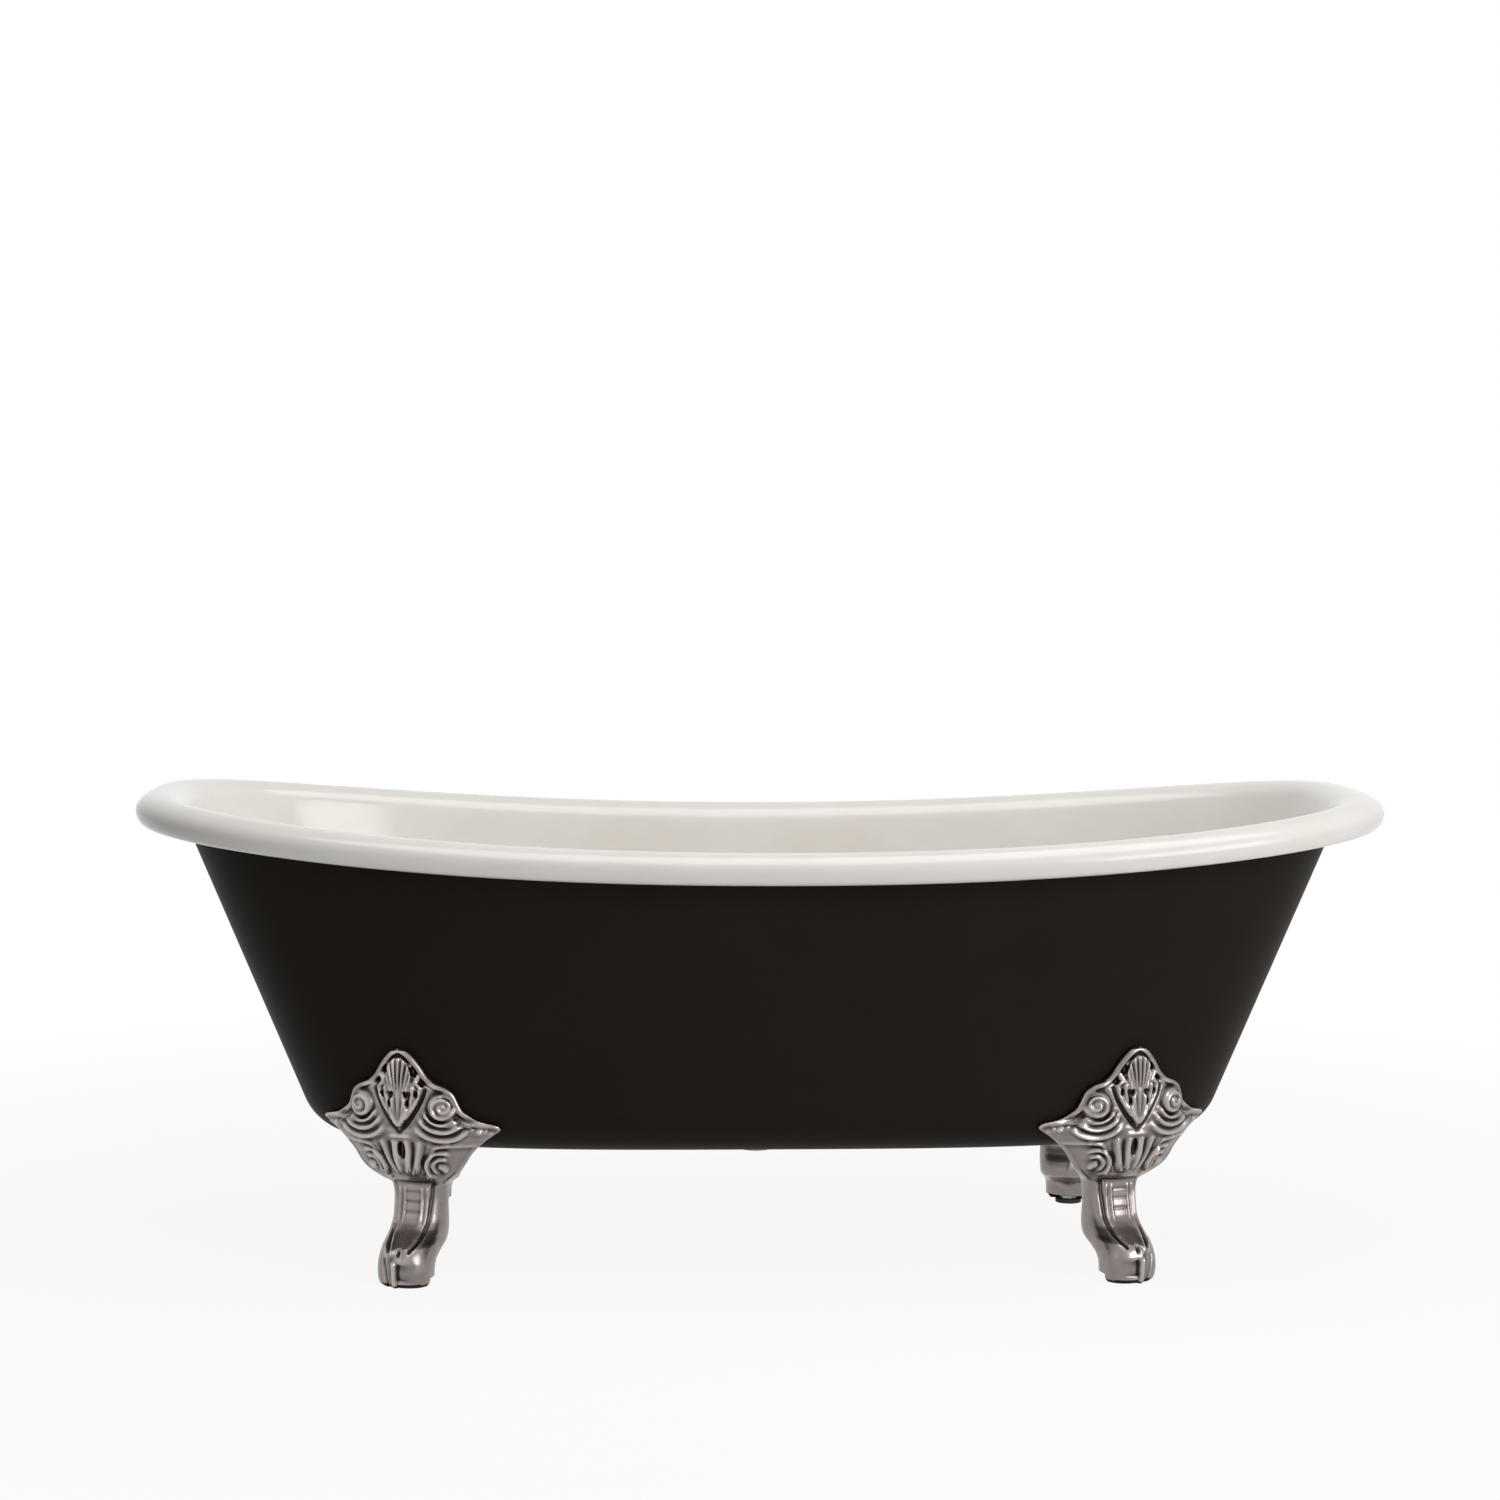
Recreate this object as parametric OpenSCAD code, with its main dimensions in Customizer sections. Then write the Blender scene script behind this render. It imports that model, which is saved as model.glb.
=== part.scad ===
// Freestanding double-ended cast iron bath with a rolled rim, on four claw feet.
// Millimetres. The origin is on the floor under the middle of the bath,
// +X runs along the bath, -Y is the front and +Z is up.

/* [Bath] */
// Overall length over the rolled rim
bath_length = 1700; // [1600:10:1800]
// Overall width over the rolled rim
bath_width = 790; // [760:5:840]
// Height of the rim's outer edge above the floor at mid-length
rim_height = 561; // [540:1:600]
// How much higher the rim stands at each end
end_rise = 53; // [30:1:70]
// Height of the underside above the floor
underside_height = 172.5; // [168:0.5:182]
// Thickness of the cast iron
iron_thickness = 7.5; // [6:0.5:9]
// Thickness of the fused enamel
enamel_thickness = 1.5; // [1:0.1:2]
// Lean of the end walls, degrees from upright
end_lean = 22.7; // [18:0.1:25]
// Lean of the side walls, degrees from upright
side_lean = 7.3; // [6:0.1:9]
// Inside radius between the floor and the walls
floor_corner_radius = 66; // [55:1:75]
// Exponent of the plan outline, 2 is an ellipse and more is squarer
plan_squareness = 3.1; // [2.8:0.05:3.4]

/* [Rolled rim] */
// Distance from the rim's outer edge in to its crown
crown_inset = 31; // [26:0.5:36]
// Height of the crown above the rim's outer edge
crown_height = 20.7; // [16:0.1:24]
// Distance from the crown in to the inner wall
throat_width = 38; // [32:0.5:42]
// Height over which the inner wall turns into the crown
throat_height = 31; // [26:0.5:36]
// How far the edge curls back under the rim
lip_width = 14; // [12:0.5:18]
// How far the edge curls down below the rim's outer edge
lip_drop = 19.5; // [16:0.5:22]

/* [Feet] */
// Distance of each foot's middle from mid-length
foot_offset = 483; // [470:1:495]
// Angle that each foot turns out towards its end of the bath
foot_splay = 20; // [14:0.5:22]
// Height of the crest above the bath's underside
shield_height = 143.5; // [138:0.5:150]
// Half the width over the tips of the wings
wing_reach = 128; // [116:1:134]
// Thickness of the shield at its edge
shield_edge = 7; // [5:0.5:9]
// Distance from the crest's back to the back of the hock
foot_depth = 106; // [100:1:110]
// Half the width of the paw
paw_half_width = 36; // [34:0.5:38]
// Radius of the scroll bosses on the shoulders
volute_radius = 19; // [16:0.5:21]
// Clearance between the foot and the painted bath
saddle_gap = 0.5; // [0.4:0.1:0.8]

/* [Foot fixings] */
// Thread diameter of the bolt that holds each foot
bolt_diameter = 12; // [10:1:14]
// Width across the flats of its head
bolt_head_flats = 19; // [17:1:21]
// Height of its head
bolt_head_height = 7.5; // [6:0.5:9]
// Outer diameter of the washer
washer_diameter = 24; // [24:1:30]
// Thickness of the washer
washer_thickness = 2.5; // [1.5:0.5:3]
// Thickness of the lug behind each foot
lug_thickness = 12; // [10:1:14]
// Distance from the crest's back to the bolt
bolt_depth = 142; // [138:1:150]
// Diameter of the boss cast under the bath
boss_diameter = 42; // [36:1:46]
// Height of the boss below the underside
boss_height = 8; // [6:0.5:9]

/* [Levelling feet] */
// Thread diameter of the levelling screw
level_screw_diameter = 12; // [10:1:14]
// Length of the levelling screw above its hexagon
level_screw_length = 34; // [28:1:38]
// Width across the flats of its hexagon
level_hexagon_flats = 22; // [18:1:24]
// Height of its hexagon
level_hexagon_height = 4; // [3:0.5:4.5]
// Diameter of the pad
level_pad_diameter = 38; // [34:1:40]
// Thickness of the pad
level_pad_thickness = 5.5; // [4.5:0.5:6]
// Distance from the crest's back to the levelling screw
level_depth = 34; // [33:0.5:36]
// Running clearance around threads and stems
running_gap = 0.08; // [0.05:0.01:0.1]

/* [Waste] */
// Distance of the waste behind mid-width
waste_offset = 105; // [90:5:120]
// Diameter of the waste hole
waste_hole = 52; // [50:0.5:54]
// Diameter of the flange
waste_flange_diameter = 70; // [66:1:76]
// Thickness of the flange
waste_flange_thickness = 3; // [2:0.5:4]
// Outer diameter of the waste's pipe thread
waste_thread = 47.8; // [46:0.1:49]
// Bore through the waste
waste_bore = 37; // [34:0.5:39]
// Length of the flange's tail inside the tee
waste_insert = 14; // [10:1:16]
// Outer diameter of the tee's collar
tee_collar_diameter = 64; // [60:1:68]
// Height of the tee above its tail
tee_height = 46; // [44:1:48]
// Length of the tee's threaded tail
waste_tail = 16; // [12:1:18]
// Thickness of the seals
seal_thickness = 2; // [1.5:0.1:2.5]
// Diameter of the plug
plug_diameter = 62; // [58:1:64]
// Thickness of the plug at its middle
plug_thickness = 4.5; // [3.5:0.5:6]
// How far the plug lifts
plug_lift = 9; // [6:1:10]
// Diameter of the plug's stem
stem_diameter = 6; // [5:0.5:7]
// Outer diameter of the cartridge that catches the plug
cartridge_diameter = 16; // [15:0.5:18]

/* [Overflow] */
// Depth of the overflow's middle below the crown
overflow_drop = 116; // [110:1:125]
// Diameter of the overflow hole
overflow_hole = 48; // [44:1:50]
// Diameter of the faceplate
overflow_face = 72; // [68:1:78]
// Thickness of the faceplate
overflow_face_thickness = 3; // [2:0.5:4]
// Thread diameter of the faceplate's screw
overflow_screw_diameter = 6; // [5:0.5:8]
// Distance from the bath to the overflow pipe's middle
pipe_stand_off = 30; // [27:1:32]
// Outer diameter of the overflow pipe
pipe_diameter = 32; // [28:1:34]
// Wall of the overflow pipe
pipe_wall = 1.5; // [1:0.5:2]
// Radius of the bend at the pipe's foot, at its middle
pipe_bend = 40; // [36:1:46]
// Wall of the sockets that take the pipe
socket_wall = 4; // [3:0.5:5]
// Depth of the pipe in each socket
socket_depth = 12; // [10:1:16]
// Length of each compression nut
nut_length = 18; // [15:1:20]

/* [Hidden] */
$fn = 48;

// One overrun for every cut
overrun = 1;
// Gap that keeps the modelled enamel off the iron
bond_gap = 0.05;
// Gap between faces that rest on each other
seat_gap = 0.1;
// Number of stations round the bath
stations = 64;
// Exponent of the rim's rise towards the ends
rise_power = 2.1;

wall_thickness = iron_thickness + enamel_thickness;
half_length = bath_length / 2;
half_width = bath_width / 2;
floor_top = underside_height + wall_thickness;
corner_centre_height = floor_top + floor_corner_radius;
outer_corner_radius = floor_corner_radius + wall_thickness;

// Steps along the wall's section, as shares of each stretch
corner_shares = [0, 0.2, 0.4, 0.6, 0.8, 1];
wall_shares = [0.33, 0.67];
throat_shares = [0, 0.34, 0.67, 1];
nose_shares = [0.25, 0.5, 0.75, 1];
lip_shares = [0.34, 0.67, 1];

function mix(a, b, share) = a + (b - a) * share;
function signed_power(value, power) = sign(value) * pow(abs(value), power);

// Share of the end rise at a station of the plan
function rise_share(t) = pow(abs(cos(t)), 2 * rise_power / plan_squareness);
function rim_height_at(t) = rim_height + end_rise * rise_share(t);
function lean_at(t) = mix(side_lean, end_lean, rise_share(t));
function plan_x_share(t) = signed_power(cos(t), 2 / plan_squareness);
function plan_y_share(t) = signed_power(sin(t), 2 / plan_squareness);

// Angle at which the throat's curve meets a leaning wall
function throat_angle(lean, depth) =
    atan((throat_height - depth) * tan(lean) / (throat_width - depth));

// Where the throat meets the wall, as [distance from the middle, height]
function throat_foot(half, rim, lean, depth) =
    let (angle = throat_angle(lean, depth))
    [half - crown_inset - (throat_width - depth) * cos(angle),
     rim + crown_height - throat_height + (throat_height - depth) * sin(angle)];

// Distance from the middle to the centre of the floor's corner radius
function corner_centre(half, rim, lean) =
    let (foot = throat_foot(half, rim, lean, 0))
    foot[0] - (foot[1] - corner_centre_height) * tan(lean) - floor_corner_radius / cos(lean);

// Section of the wall at a depth below the finished face, from the floor's edge to the lip
function section(half, rim, lean, depth) =
    let (
        centre = corner_centre(half, rim, lean),
        radius = floor_corner_radius + depth,
        sweep = 90 - lean,
        wall_foot = [centre + radius * cos(lean), corner_centre_height - radius * sin(lean)],
        wall_head = throat_foot(half, rim, lean, depth),
        start_angle = throat_angle(lean, depth)
    )
    concat(
        [for (share = corner_shares)
            [centre + radius * sin(share * sweep),
             corner_centre_height - radius * cos(share * sweep)]],
        [for (share = wall_shares) mix(wall_foot, wall_head, share)],
        [for (share = throat_shares)
            let (angle = mix(start_angle, 90, share))
            [half - crown_inset - (throat_width - depth) * cos(angle),
             rim + crown_height - throat_height + (throat_height - depth) * sin(angle)]],
        [for (share = nose_shares)
            let (angle = 90 * (1 - share))
            [half - crown_inset + (crown_inset - depth) * cos(angle),
             rim + (crown_height - depth) * sin(angle)]],
        [for (share = lip_shares)
            let (angle = 90 * share)
            [half - lip_width + (lip_width - depth) * cos(angle),
             rim - (lip_drop - depth) * sin(angle)]]
    );

// Rings of points round the bath at a depth below the finished face
function skin_rings(depth) =
    let (
        lengthwise = section(half_length, rim_height + end_rise, end_lean, depth),
        crosswise = section(half_width, rim_height, side_lean, depth),
        angles = [for (i = [0:stations - 1]) 360 * i / stations],
        heights = [for (t = angles)
            [for (point = section(half_length, rim_height_at(t), lean_at(t), depth)) point[1]]]
    )
    [for (row = [0:len(lengthwise) - 1])
        [for (i = [0:stations - 1])
            [lengthwise[row][0] * plan_x_share(angles[i]),
             crosswise[row][0] * plan_y_share(angles[i]),
             heights[i][row]]]];

function reversed(list) = [for (i = [len(list) - 1:-1:0]) list[i]];

// Closed solid from a stack of rings, each with the same number of points. From turn_row on
// the rings run back, and their quads split the other way, so that two skins that face each
// other fold along the same lines
module ring_solid(rings, turn_row) {
    count = len(rings[0]);
    last = len(rings) - 1;
    points = [for (ring = rings) each ring];
    sides = [for (row = [0:last - 1], i = [0:count - 1])
        let (
            a = row * count + i,
            b = row * count + (i + 1) % count,
            c = a + count,
            d = b + count
        )
        each row < turn_row ? [[a, c, b], [b, c, d]] : [[a, c, d], [a, d, b]]];
    caps = [[for (i = [0:count - 1]) i], [for (i = [count - 1:-1:0]) last * count + i]];
    polyhedron(points = points, faces = concat(sides, caps));
}

// Layer of the bath's wall between two depths below the finished face
module wall_layer(from_depth, to_depth) {
    forward = skin_rings(to_depth);
    ring_solid(concat(forward, reversed(skin_rings(from_depth))), len(forward));
}

// Outline of the bath's outer face at one height, in the quarter with +X and -Y
function wall_foot_height(t) = corner_centre_height - outer_corner_radius * sin(lean_at(t));
function wall_slice(t, height) =
    let (
        end_centre = corner_centre(half_length, rim_height + end_rise, end_lean),
        side_centre = corner_centre(half_width, rim_height, side_lean),
        end_head = throat_foot(half_length, rim_height + end_rise, end_lean, wall_thickness),
        side_head = throat_foot(half_width, rim_height, side_lean, wall_thickness),
        head = throat_foot(half_length, rim_height_at(t), lean_at(t), wall_thickness),
        low = wall_foot_height(t),
        on_wall = (height - low) / (head[1] - low),
        drop_share = min(1, (corner_centre_height - height) / outer_corner_radius),
        on_corner = acos(drop_share) / (90 - lean_at(t)),
        reach = height > low
            ? [mix(end_centre + outer_corner_radius * cos(end_lean), end_head[0], on_wall),
               mix(side_centre + outer_corner_radius * cos(side_lean), side_head[0], on_wall)]
            : [end_centre + outer_corner_radius * sin(on_corner * (90 - end_lean)),
               side_centre + outer_corner_radius * sin(on_corner * (90 - side_lean))]
    )
    [reach[0] * plan_x_share(t), -reach[1] * plan_y_share(t)];

// Frame of a foot: u runs along the wall towards the bath's end and v points outwards
u_axis = [cos(foot_splay), sin(foot_splay)];
v_axis = [sin(foot_splay), -cos(foot_splay)];
crest_height = underside_height + shield_height;

// Station at which the outline passes a given distance along an axis, by halving
function station_along(axis, from, target, height, low = 3, high = 88, turns = 18) =
    let (middle = (low + high) / 2)
    turns == 0 ? middle :
    (wall_slice(middle, height) - from) * axis > target
        ? station_along(axis, from, target, height, middle, high, turns - 1)
        : station_along(axis, from, target, height, low, middle, turns - 1);

foot_origin = wall_slice(station_along([1, 0], [0, 0], foot_offset, crest_height), crest_height);

// How far out of the foot's origin the bath's face lies at a place along the foot
function wall_depth(u, height) =
    (wall_slice(station_along(u_axis, foot_origin, u, height), height) - foot_origin) * v_axis;

// Share of the underside's height up to which the heel is relieved for the pad
heel_share = 0.065;
// Share of the shield's height at which its wings are widest
wing_share = 0.275;

// Rows of the leg: height share of the underside, front and back shares of the foot's
// depth behind the crest, half-width share of the paw, and how far the row has
// turned from a round leg into the flat shield
leg_row_shares = [
    [0.000, 0.070, -0.100, 0.86, 0],
    [0.030, 0.130, -0.120, 0.96, 0],
    [0.970 * heel_share, 0.155, -0.125, 0.99, 0],
    [heel_share, 0.156, -0.480, 0.99, 0],
    [0.125, 0.170, -0.490, 1.00, 0],
    [0.185, 0.170, -0.560, 1.00, 0],
    [0.240, 0.150, -0.740, 1.01, 0],
    [0.295, 0.095, -0.950, 1.02, 0],
    [0.350, -0.055, -1.000, 1.00, 0],
    [0.410, -0.210, -0.985, 0.99, 0],
    [0.485, -0.320, -0.950, 0.98, 0],
    [0.570, -0.360, -0.925, 0.98, 0],
    [0.650, -0.380, -0.925, 0.99, 0],
    [0.725, -0.375, -0.920, 1.06, 0],
    [0.775, -0.340, -0.900, 1.35, 0.25],
    [0.825, -0.270, -0.870, 1.65, 0.5],
    [0.870, -0.200, -0.830, 1.88, 0.7],
    [0.930, -0.115, -0.760, 2.10, 0.85]
];

// Rows of the shield: height share of the shield, half-width share of the wings
// and front share of the foot's depth
shield_row_shares = [
    [0.000, 0.655, -0.045],
    [0.078, 0.735, -0.005],
    [0.146, 0.820, 0.025],
    [0.207, 0.920, 0.050],
    [0.248, 0.985, 0.060],
    [wing_share, 1.000, 0.066],
    [0.302, 0.930, 0.072],
    [0.329, 0.800, 0.077],
    [0.383, 0.700, 0.080],
    [0.451, 0.620, 0.083],
    [0.519, 0.585, 0.085],
    [0.586, 0.550, 0.086],
    [0.641, 0.480, 0.087],
    [0.688, 0.360, 0.088],
    [0.756, 0.275, 0.088],
    [0.844, 0.210, 0.086],
    [0.919, 0.145, 0.083],
    [0.966, 0.090, 0.080],
    [1.000, 0.030, 0.075]
];
foot_ring_points = 32;
wing_height = underside_height + wing_share * shield_height;
// How far the shield's skirt leans in below the wings, and over what height
skirt_lean = 12;
skirt_height = 45;
// Exponents of the shield's edge, of its bulge and of the leg's outline
edge_power = 0.3;
bulge_power = 1.4;
leg_power = 0.8;

// Back of the shield: it follows the bath down to the wings and hangs free below them
function shield_back(u, height) =
    wall_depth(u, max(height, wing_height)) + saddle_gap
    - skirt_lean * min(1, max(0, wing_height - height) / skirt_height);

// Point of the shield's outline at an angle round it
function shield_point(half, front, height, angle) =
    let (
        u = half * cos(angle),
        middle_bulge = max(0, front - shield_back(0, height) - shield_edge),
        edge_share = 0.5 + 0.5 * signed_power(sin(angle), edge_power),
        bulge = sin(angle) > 0 ? middle_bulge * pow(sin(angle), bulge_power) : 0
    )
    [u, shield_back(u, height) + shield_edge * edge_share + bulge, height];

// Outline of the leg at one row
function leg_ring(row) =
    let (
        front = row[1] * foot_depth,
        back = row[2] * foot_depth,
        half = row[3] * paw_half_width,
        height = row[0] * underside_height
    )
    [for (i = [0:foot_ring_points - 1])
        let (
            angle = 360 * i / foot_ring_points,
            round_point = [
                half * signed_power(cos(angle), leg_power),
                (front + back) / 2 + (front - back) / 2 * signed_power(sin(angle), leg_power),
                height
            ]
        )
        row[4] == 0 ? round_point
            : mix(round_point, shield_point(half, front, height, angle), row[4])];

// Outline of the shield at one row
function shield_ring(row) =
    [for (i = [0:foot_ring_points - 1])
        shield_point(row[1] * wing_reach, row[2] * foot_depth,
            underside_height + row[0] * shield_height, 360 * i / foot_ring_points)];

foot_rings = concat(
    [for (row = leg_row_shares) leg_ring(row)],
    [for (row = shield_row_shares) shield_ring(row)]
);

// Places a piece given in the front right foot's own frame
module at_foot() {
    multmatrix([
        [u_axis[0], v_axis[0], 0, foot_origin[0]],
        [u_axis[1], v_axis[1], 0, foot_origin[1]],
        [0, 0, 1, 0],
        [0, 0, 0, 1]
    ])
    children();
}

// Copies a front right piece to another corner of the bath
module at_corner(left, rear) {
    mirror([left ? 1 : 0, 0, 0])
    mirror([0, rear ? 1 : 0, 0])
    at_foot()
    children();
}

// Hexagonal prism given by the width across its flats
module hexagon(flats, height) {
    cylinder(d = flats / cos(30), h = height, $fn = 6);
}

// Round tube standing on the origin
module tube(outer, inner, height) {
    difference() {
        cylinder(d = outer, h = height);
        translate([0, 0, -overrun]) cylinder(d = inner, h = height + 2 * overrun);
    }
}

boss_bottom = underside_height - boss_height;
lug_top = boss_bottom - seat_gap;
lug_bottom = lug_top - lug_thickness;
bolt_seat = lug_bottom - washer_thickness - 2 * seat_gap;
thread_depth_share = 0.7;
bolt_hole_depth = boss_height + thread_depth_share * iron_thickness;
bolt_hole_clearance = 1;

// Boss under the bath for one foot's bolt
module bolt_boss() {
    translate([0, -bolt_depth, boss_bottom])
    cylinder(d = boss_diameter, h = boss_height + iron_thickness / 2);
}

// Blind threaded hole in that boss
module bolt_hole() {
    translate([0, -bolt_depth, boss_bottom - overrun])
    cylinder(d = bolt_diameter + 2 * running_gap, h = bolt_hole_depth + overrun);
}

heel_height = heel_share * underside_height;
level_bore_height = heel_height + level_screw_length;
// Where the lug starts inside the shield, as a share of the foot's depth
lug_root_share = 0.25;
// Rib under the lug: its width and the shares of depth and height of its foot
rib_width = 16;
rib_foot_share = 0.8;
rib_height_share = 0.7;

// Lug that takes the bolt, with the rib that carries it on the leg
module bolt_lug() {
    lug_root = -lug_root_share * foot_depth;
    translate([-boss_diameter / 2, -bolt_depth, lug_bottom])
    cube([boss_diameter, bolt_depth + lug_root, lug_thickness]);
    translate([0, -bolt_depth, lug_bottom])
    cylinder(d = boss_diameter, h = lug_thickness);
    translate([-rib_width / 2, 0, 0])
    rotate([90, 0, 90])
    linear_extrude(rib_width)
    polygon([
        [-foot_depth / 3, lug_bottom + lug_thickness / 2],
        [washer_diameter - bolt_depth, lug_bottom + lug_thickness / 2],
        [-rib_foot_share * foot_depth, rib_height_share * underside_height],
        [-foot_depth / 2, rib_height_share * underside_height]
    ]);
}

// Claw foot: a shield against the bath, a leg and paw, and a lug for the bolt
module claw_foot(left, rear) {
    color([0.62, 0.59, 0.56])
    at_corner(left, rear)
    difference() {
        union() {
            ring_solid(foot_rings, len(foot_rings));
            bolt_lug();
            for (side = [-1, 1]) volute(side);
        }
        translate([0, -bolt_depth, lug_bottom - overrun])
        cylinder(d = bolt_diameter + bolt_hole_clearance, h = lug_thickness + 2 * overrun);
        translate([0, -level_depth, 0])
        cylinder(d = level_screw_diameter + 2 * running_gap, h = level_bore_height);
    }
}

// Round scroll boss on one shoulder of the shield
volute_height_share = 0.52;
volute_side_share = 0.43;
volute_proud = 9;
// Outline of the boss as shares of its radius and of how proud it stands
volute_outline_shares = [[0, 0], [1, 0], [1, 0.5], [0.85, 1], [0.5, 1.3], [0, 1.4]];

module volute(side) {
    u = side * volute_side_share * wing_reach;
    height = underside_height + volute_height_share * shield_height;
    above = shield_back(u, height + volute_radius);
    below = shield_back(u, height - volute_radius);
    lean = atan((above - below) / (2 * volute_radius));
    translate([u, shield_back(u, height) + shield_edge / 2, height])
    rotate([-90 - lean, 0, 0])
    rotate_extrude()
    polygon([for (share = volute_outline_shares)
        [share[0] * volute_radius, share[1] * volute_proud]]);
}

module each_corner() {
    for (left = [false, true], rear = [false, true])
        at_corner(left, rear) children();
}

module foot_bolts() {
    color([0.55, 0.56, 0.57])
    each_corner()
    translate([0, -bolt_depth, bolt_seat]) {
        translate([0, 0, -bolt_head_height]) hexagon(bolt_head_flats, bolt_head_height);
        translate([0, 0, -bolt_head_height / 2])
        cylinder(
            d = bolt_diameter,
            h = bolt_head_height / 2 + boss_bottom + bolt_hole_depth - bolt_seat - saddle_gap
        );
    }
}

module foot_washers() {
    color([0.66, 0.67, 0.68])
    each_corner()
    translate([0, -bolt_depth, bolt_seat + seat_gap])
    tube(washer_diameter, bolt_diameter + bolt_hole_clearance, washer_thickness);
}

// Levelling gear: a pad on the floor and the screw that bears on it
pad_bottom = 0.3;
pad_top = pad_bottom + level_pad_thickness;
spigot_share = 0.6;
level_spigot_diameter = spigot_share * level_screw_diameter;
level_spigot_length = spigot_share * level_pad_thickness;

module level_screw(left, rear) {
    color([0.58, 0.59, 0.60])
    at_corner(left, rear)
    translate([0, -level_depth, pad_top + seat_gap]) {
        hexagon(level_hexagon_flats, level_hexagon_height);
        cylinder(d = level_screw_diameter, h = level_hexagon_height + level_screw_length
            - saddle_gap - seat_gap);
        translate([0, 0, -level_spigot_length])
        cylinder(d = level_spigot_diameter, h = level_spigot_length + level_hexagon_height);
    }
}

module level_pad(left, rear) {
    color([0.07, 0.07, 0.07])
    at_corner(left, rear)
    translate([0, -level_depth, pad_bottom])
    difference() {
        cylinder(d = level_pad_diameter, h = level_pad_thickness);
        translate([0, 0, level_pad_thickness - level_spigot_length - saddle_gap])
        cylinder(
            d = level_spigot_diameter + 2 * running_gap,
            h = level_spigot_length + saddle_gap + overrun
        );
    }
}

// Waste, plug and cartridge on the waste's axis
module at_waste(height) {
    translate([0, waste_offset, height]) children();
}

flange_bottom = floor_top + seal_thickness + 2 * seat_gap;
flange_top = flange_bottom + waste_flange_thickness;
tee_top = underside_height - seal_thickness - 2 * seat_gap;
tee_shoulder = tee_top - tee_height;
waste_tail_bottom = tee_shoulder - waste_tail;
flange_tail_bottom = tee_top - waste_insert;
bridge_height = 6;
bridge_width = 4;
bridge_bottom = underside_height - bridge_height;
bridge_hub_wall = 3;

module waste_flange() {
    color([0.72, 0.70, 0.68])
    at_waste(0) {
        translate([0, 0, flange_bottom])
        tube(waste_flange_diameter, waste_bore, waste_flange_thickness);
        translate([0, 0, flange_tail_bottom])
        tube(waste_thread, waste_bore, flange_bottom - flange_tail_bottom + bond_gap);
        difference() {
            translate([0, 0, bridge_bottom]) {
                cylinder(d = cartridge_diameter + 2 * bridge_hub_wall, h = bridge_height);
                for (turn = [0, 120, 240])
                    rotate([0, 0, turn])
                    translate([0, -bridge_width / 2, 0])
                    cube([waste_bore / 2 + bridge_width / 2, bridge_width, bridge_height]);
            }
            translate([0, 0, bridge_bottom - overrun])
            cylinder(d = cartridge_diameter + 2 * running_gap, h = bridge_height + 2 * overrun);
        }
    }
}

module waste_flange_seal() {
    color([0.12, 0.12, 0.12])
    at_waste(floor_top + seat_gap)
    tube(waste_flange_diameter - 2 * seal_thickness, waste_hole, seal_thickness);
}

module waste_tee_seal() {
    color([0.12, 0.12, 0.12])
    at_waste(tee_top + seat_gap)
    tube(tee_collar_diameter, waste_hole, seal_thickness);
}

pipe_bore = pipe_diameter - 2 * pipe_wall;
socket_diameter = pipe_diameter + 2 * socket_wall;
tee_diameter = waste_thread + 2 * socket_wall;
spigot_length_share = 1.6;
spigot_height = tee_shoulder + socket_diameter / 2 + socket_wall;
spigot_end = waste_offset + tee_diameter / 2 + spigot_length_share * socket_depth;
collar_height = 8;

module waste_tee() {
    color([0.60, 0.57, 0.52])
    difference() {
        union() {
            at_waste(tee_top - collar_height) cylinder(d = tee_collar_diameter, h = collar_height);
            at_waste(tee_shoulder) cylinder(d = tee_diameter, h = tee_height);
            at_waste(waste_tail_bottom) cylinder(d = waste_thread, h = waste_tail + socket_wall);
            at_waste(spigot_height)
            rotate([-90, 0, 0])
            cylinder(d = socket_diameter, h = spigot_end - waste_offset);
        }
        at_waste(waste_tail_bottom - overrun)
        cylinder(d = waste_bore, h = tee_height + waste_tail + 2 * overrun);
        at_waste(flange_tail_bottom - saddle_gap)
        cylinder(d = waste_thread + 2 * running_gap, h = waste_insert + saddle_gap + overrun);
        at_waste(spigot_height)
        rotate([-90, 0, 0])
        cylinder(d = pipe_bore, h = spigot_end - waste_offset + overrun);
        translate([0, spigot_end - socket_depth - saddle_gap, spigot_height])
        rotate([-90, 0, 0])
        cylinder(d = pipe_diameter + 2 * running_gap, h = socket_depth + saddle_gap + overrun);
    }
}

plug_seal_top = flange_top + seat_gap + seal_thickness;
plug_bottom = plug_seal_top + seat_gap;
// Outline of the plug's dome as shares of its radius and of its thickness
plug_outline_shares = [[0, 0], [1, 0], [1, 0.35], [0.67, 0.8], [0, 1]];
cartridge_wall = 1.8;
chamber_diameter = cartridge_diameter - 2 * cartridge_wall;
piston_height = 3;
spring_length = 6;
cartridge_top = bridge_bottom + bridge_height + 2 * bridge_hub_wall;
chamber_top = cartridge_top - cartridge_wall;
piston_bottom = chamber_top - plug_lift - piston_height - saddle_gap;
chamber_bottom = piston_bottom - spring_length - 2 * seat_gap;

// Domed plug cap with a threaded socket for its stem
module plug_cap() {
    color([0.72, 0.70, 0.68])
    at_waste(plug_bottom)
    difference() {
        rotate_extrude()
        polygon([for (share = plug_outline_shares)
            [share[0] * plug_diameter / 2, share[1] * plug_thickness]]);
        translate([0, 0, -overrun])
        cylinder(d = stem_diameter + 2 * running_gap, h = plug_thickness / 2 + overrun);
    }
}

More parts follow.
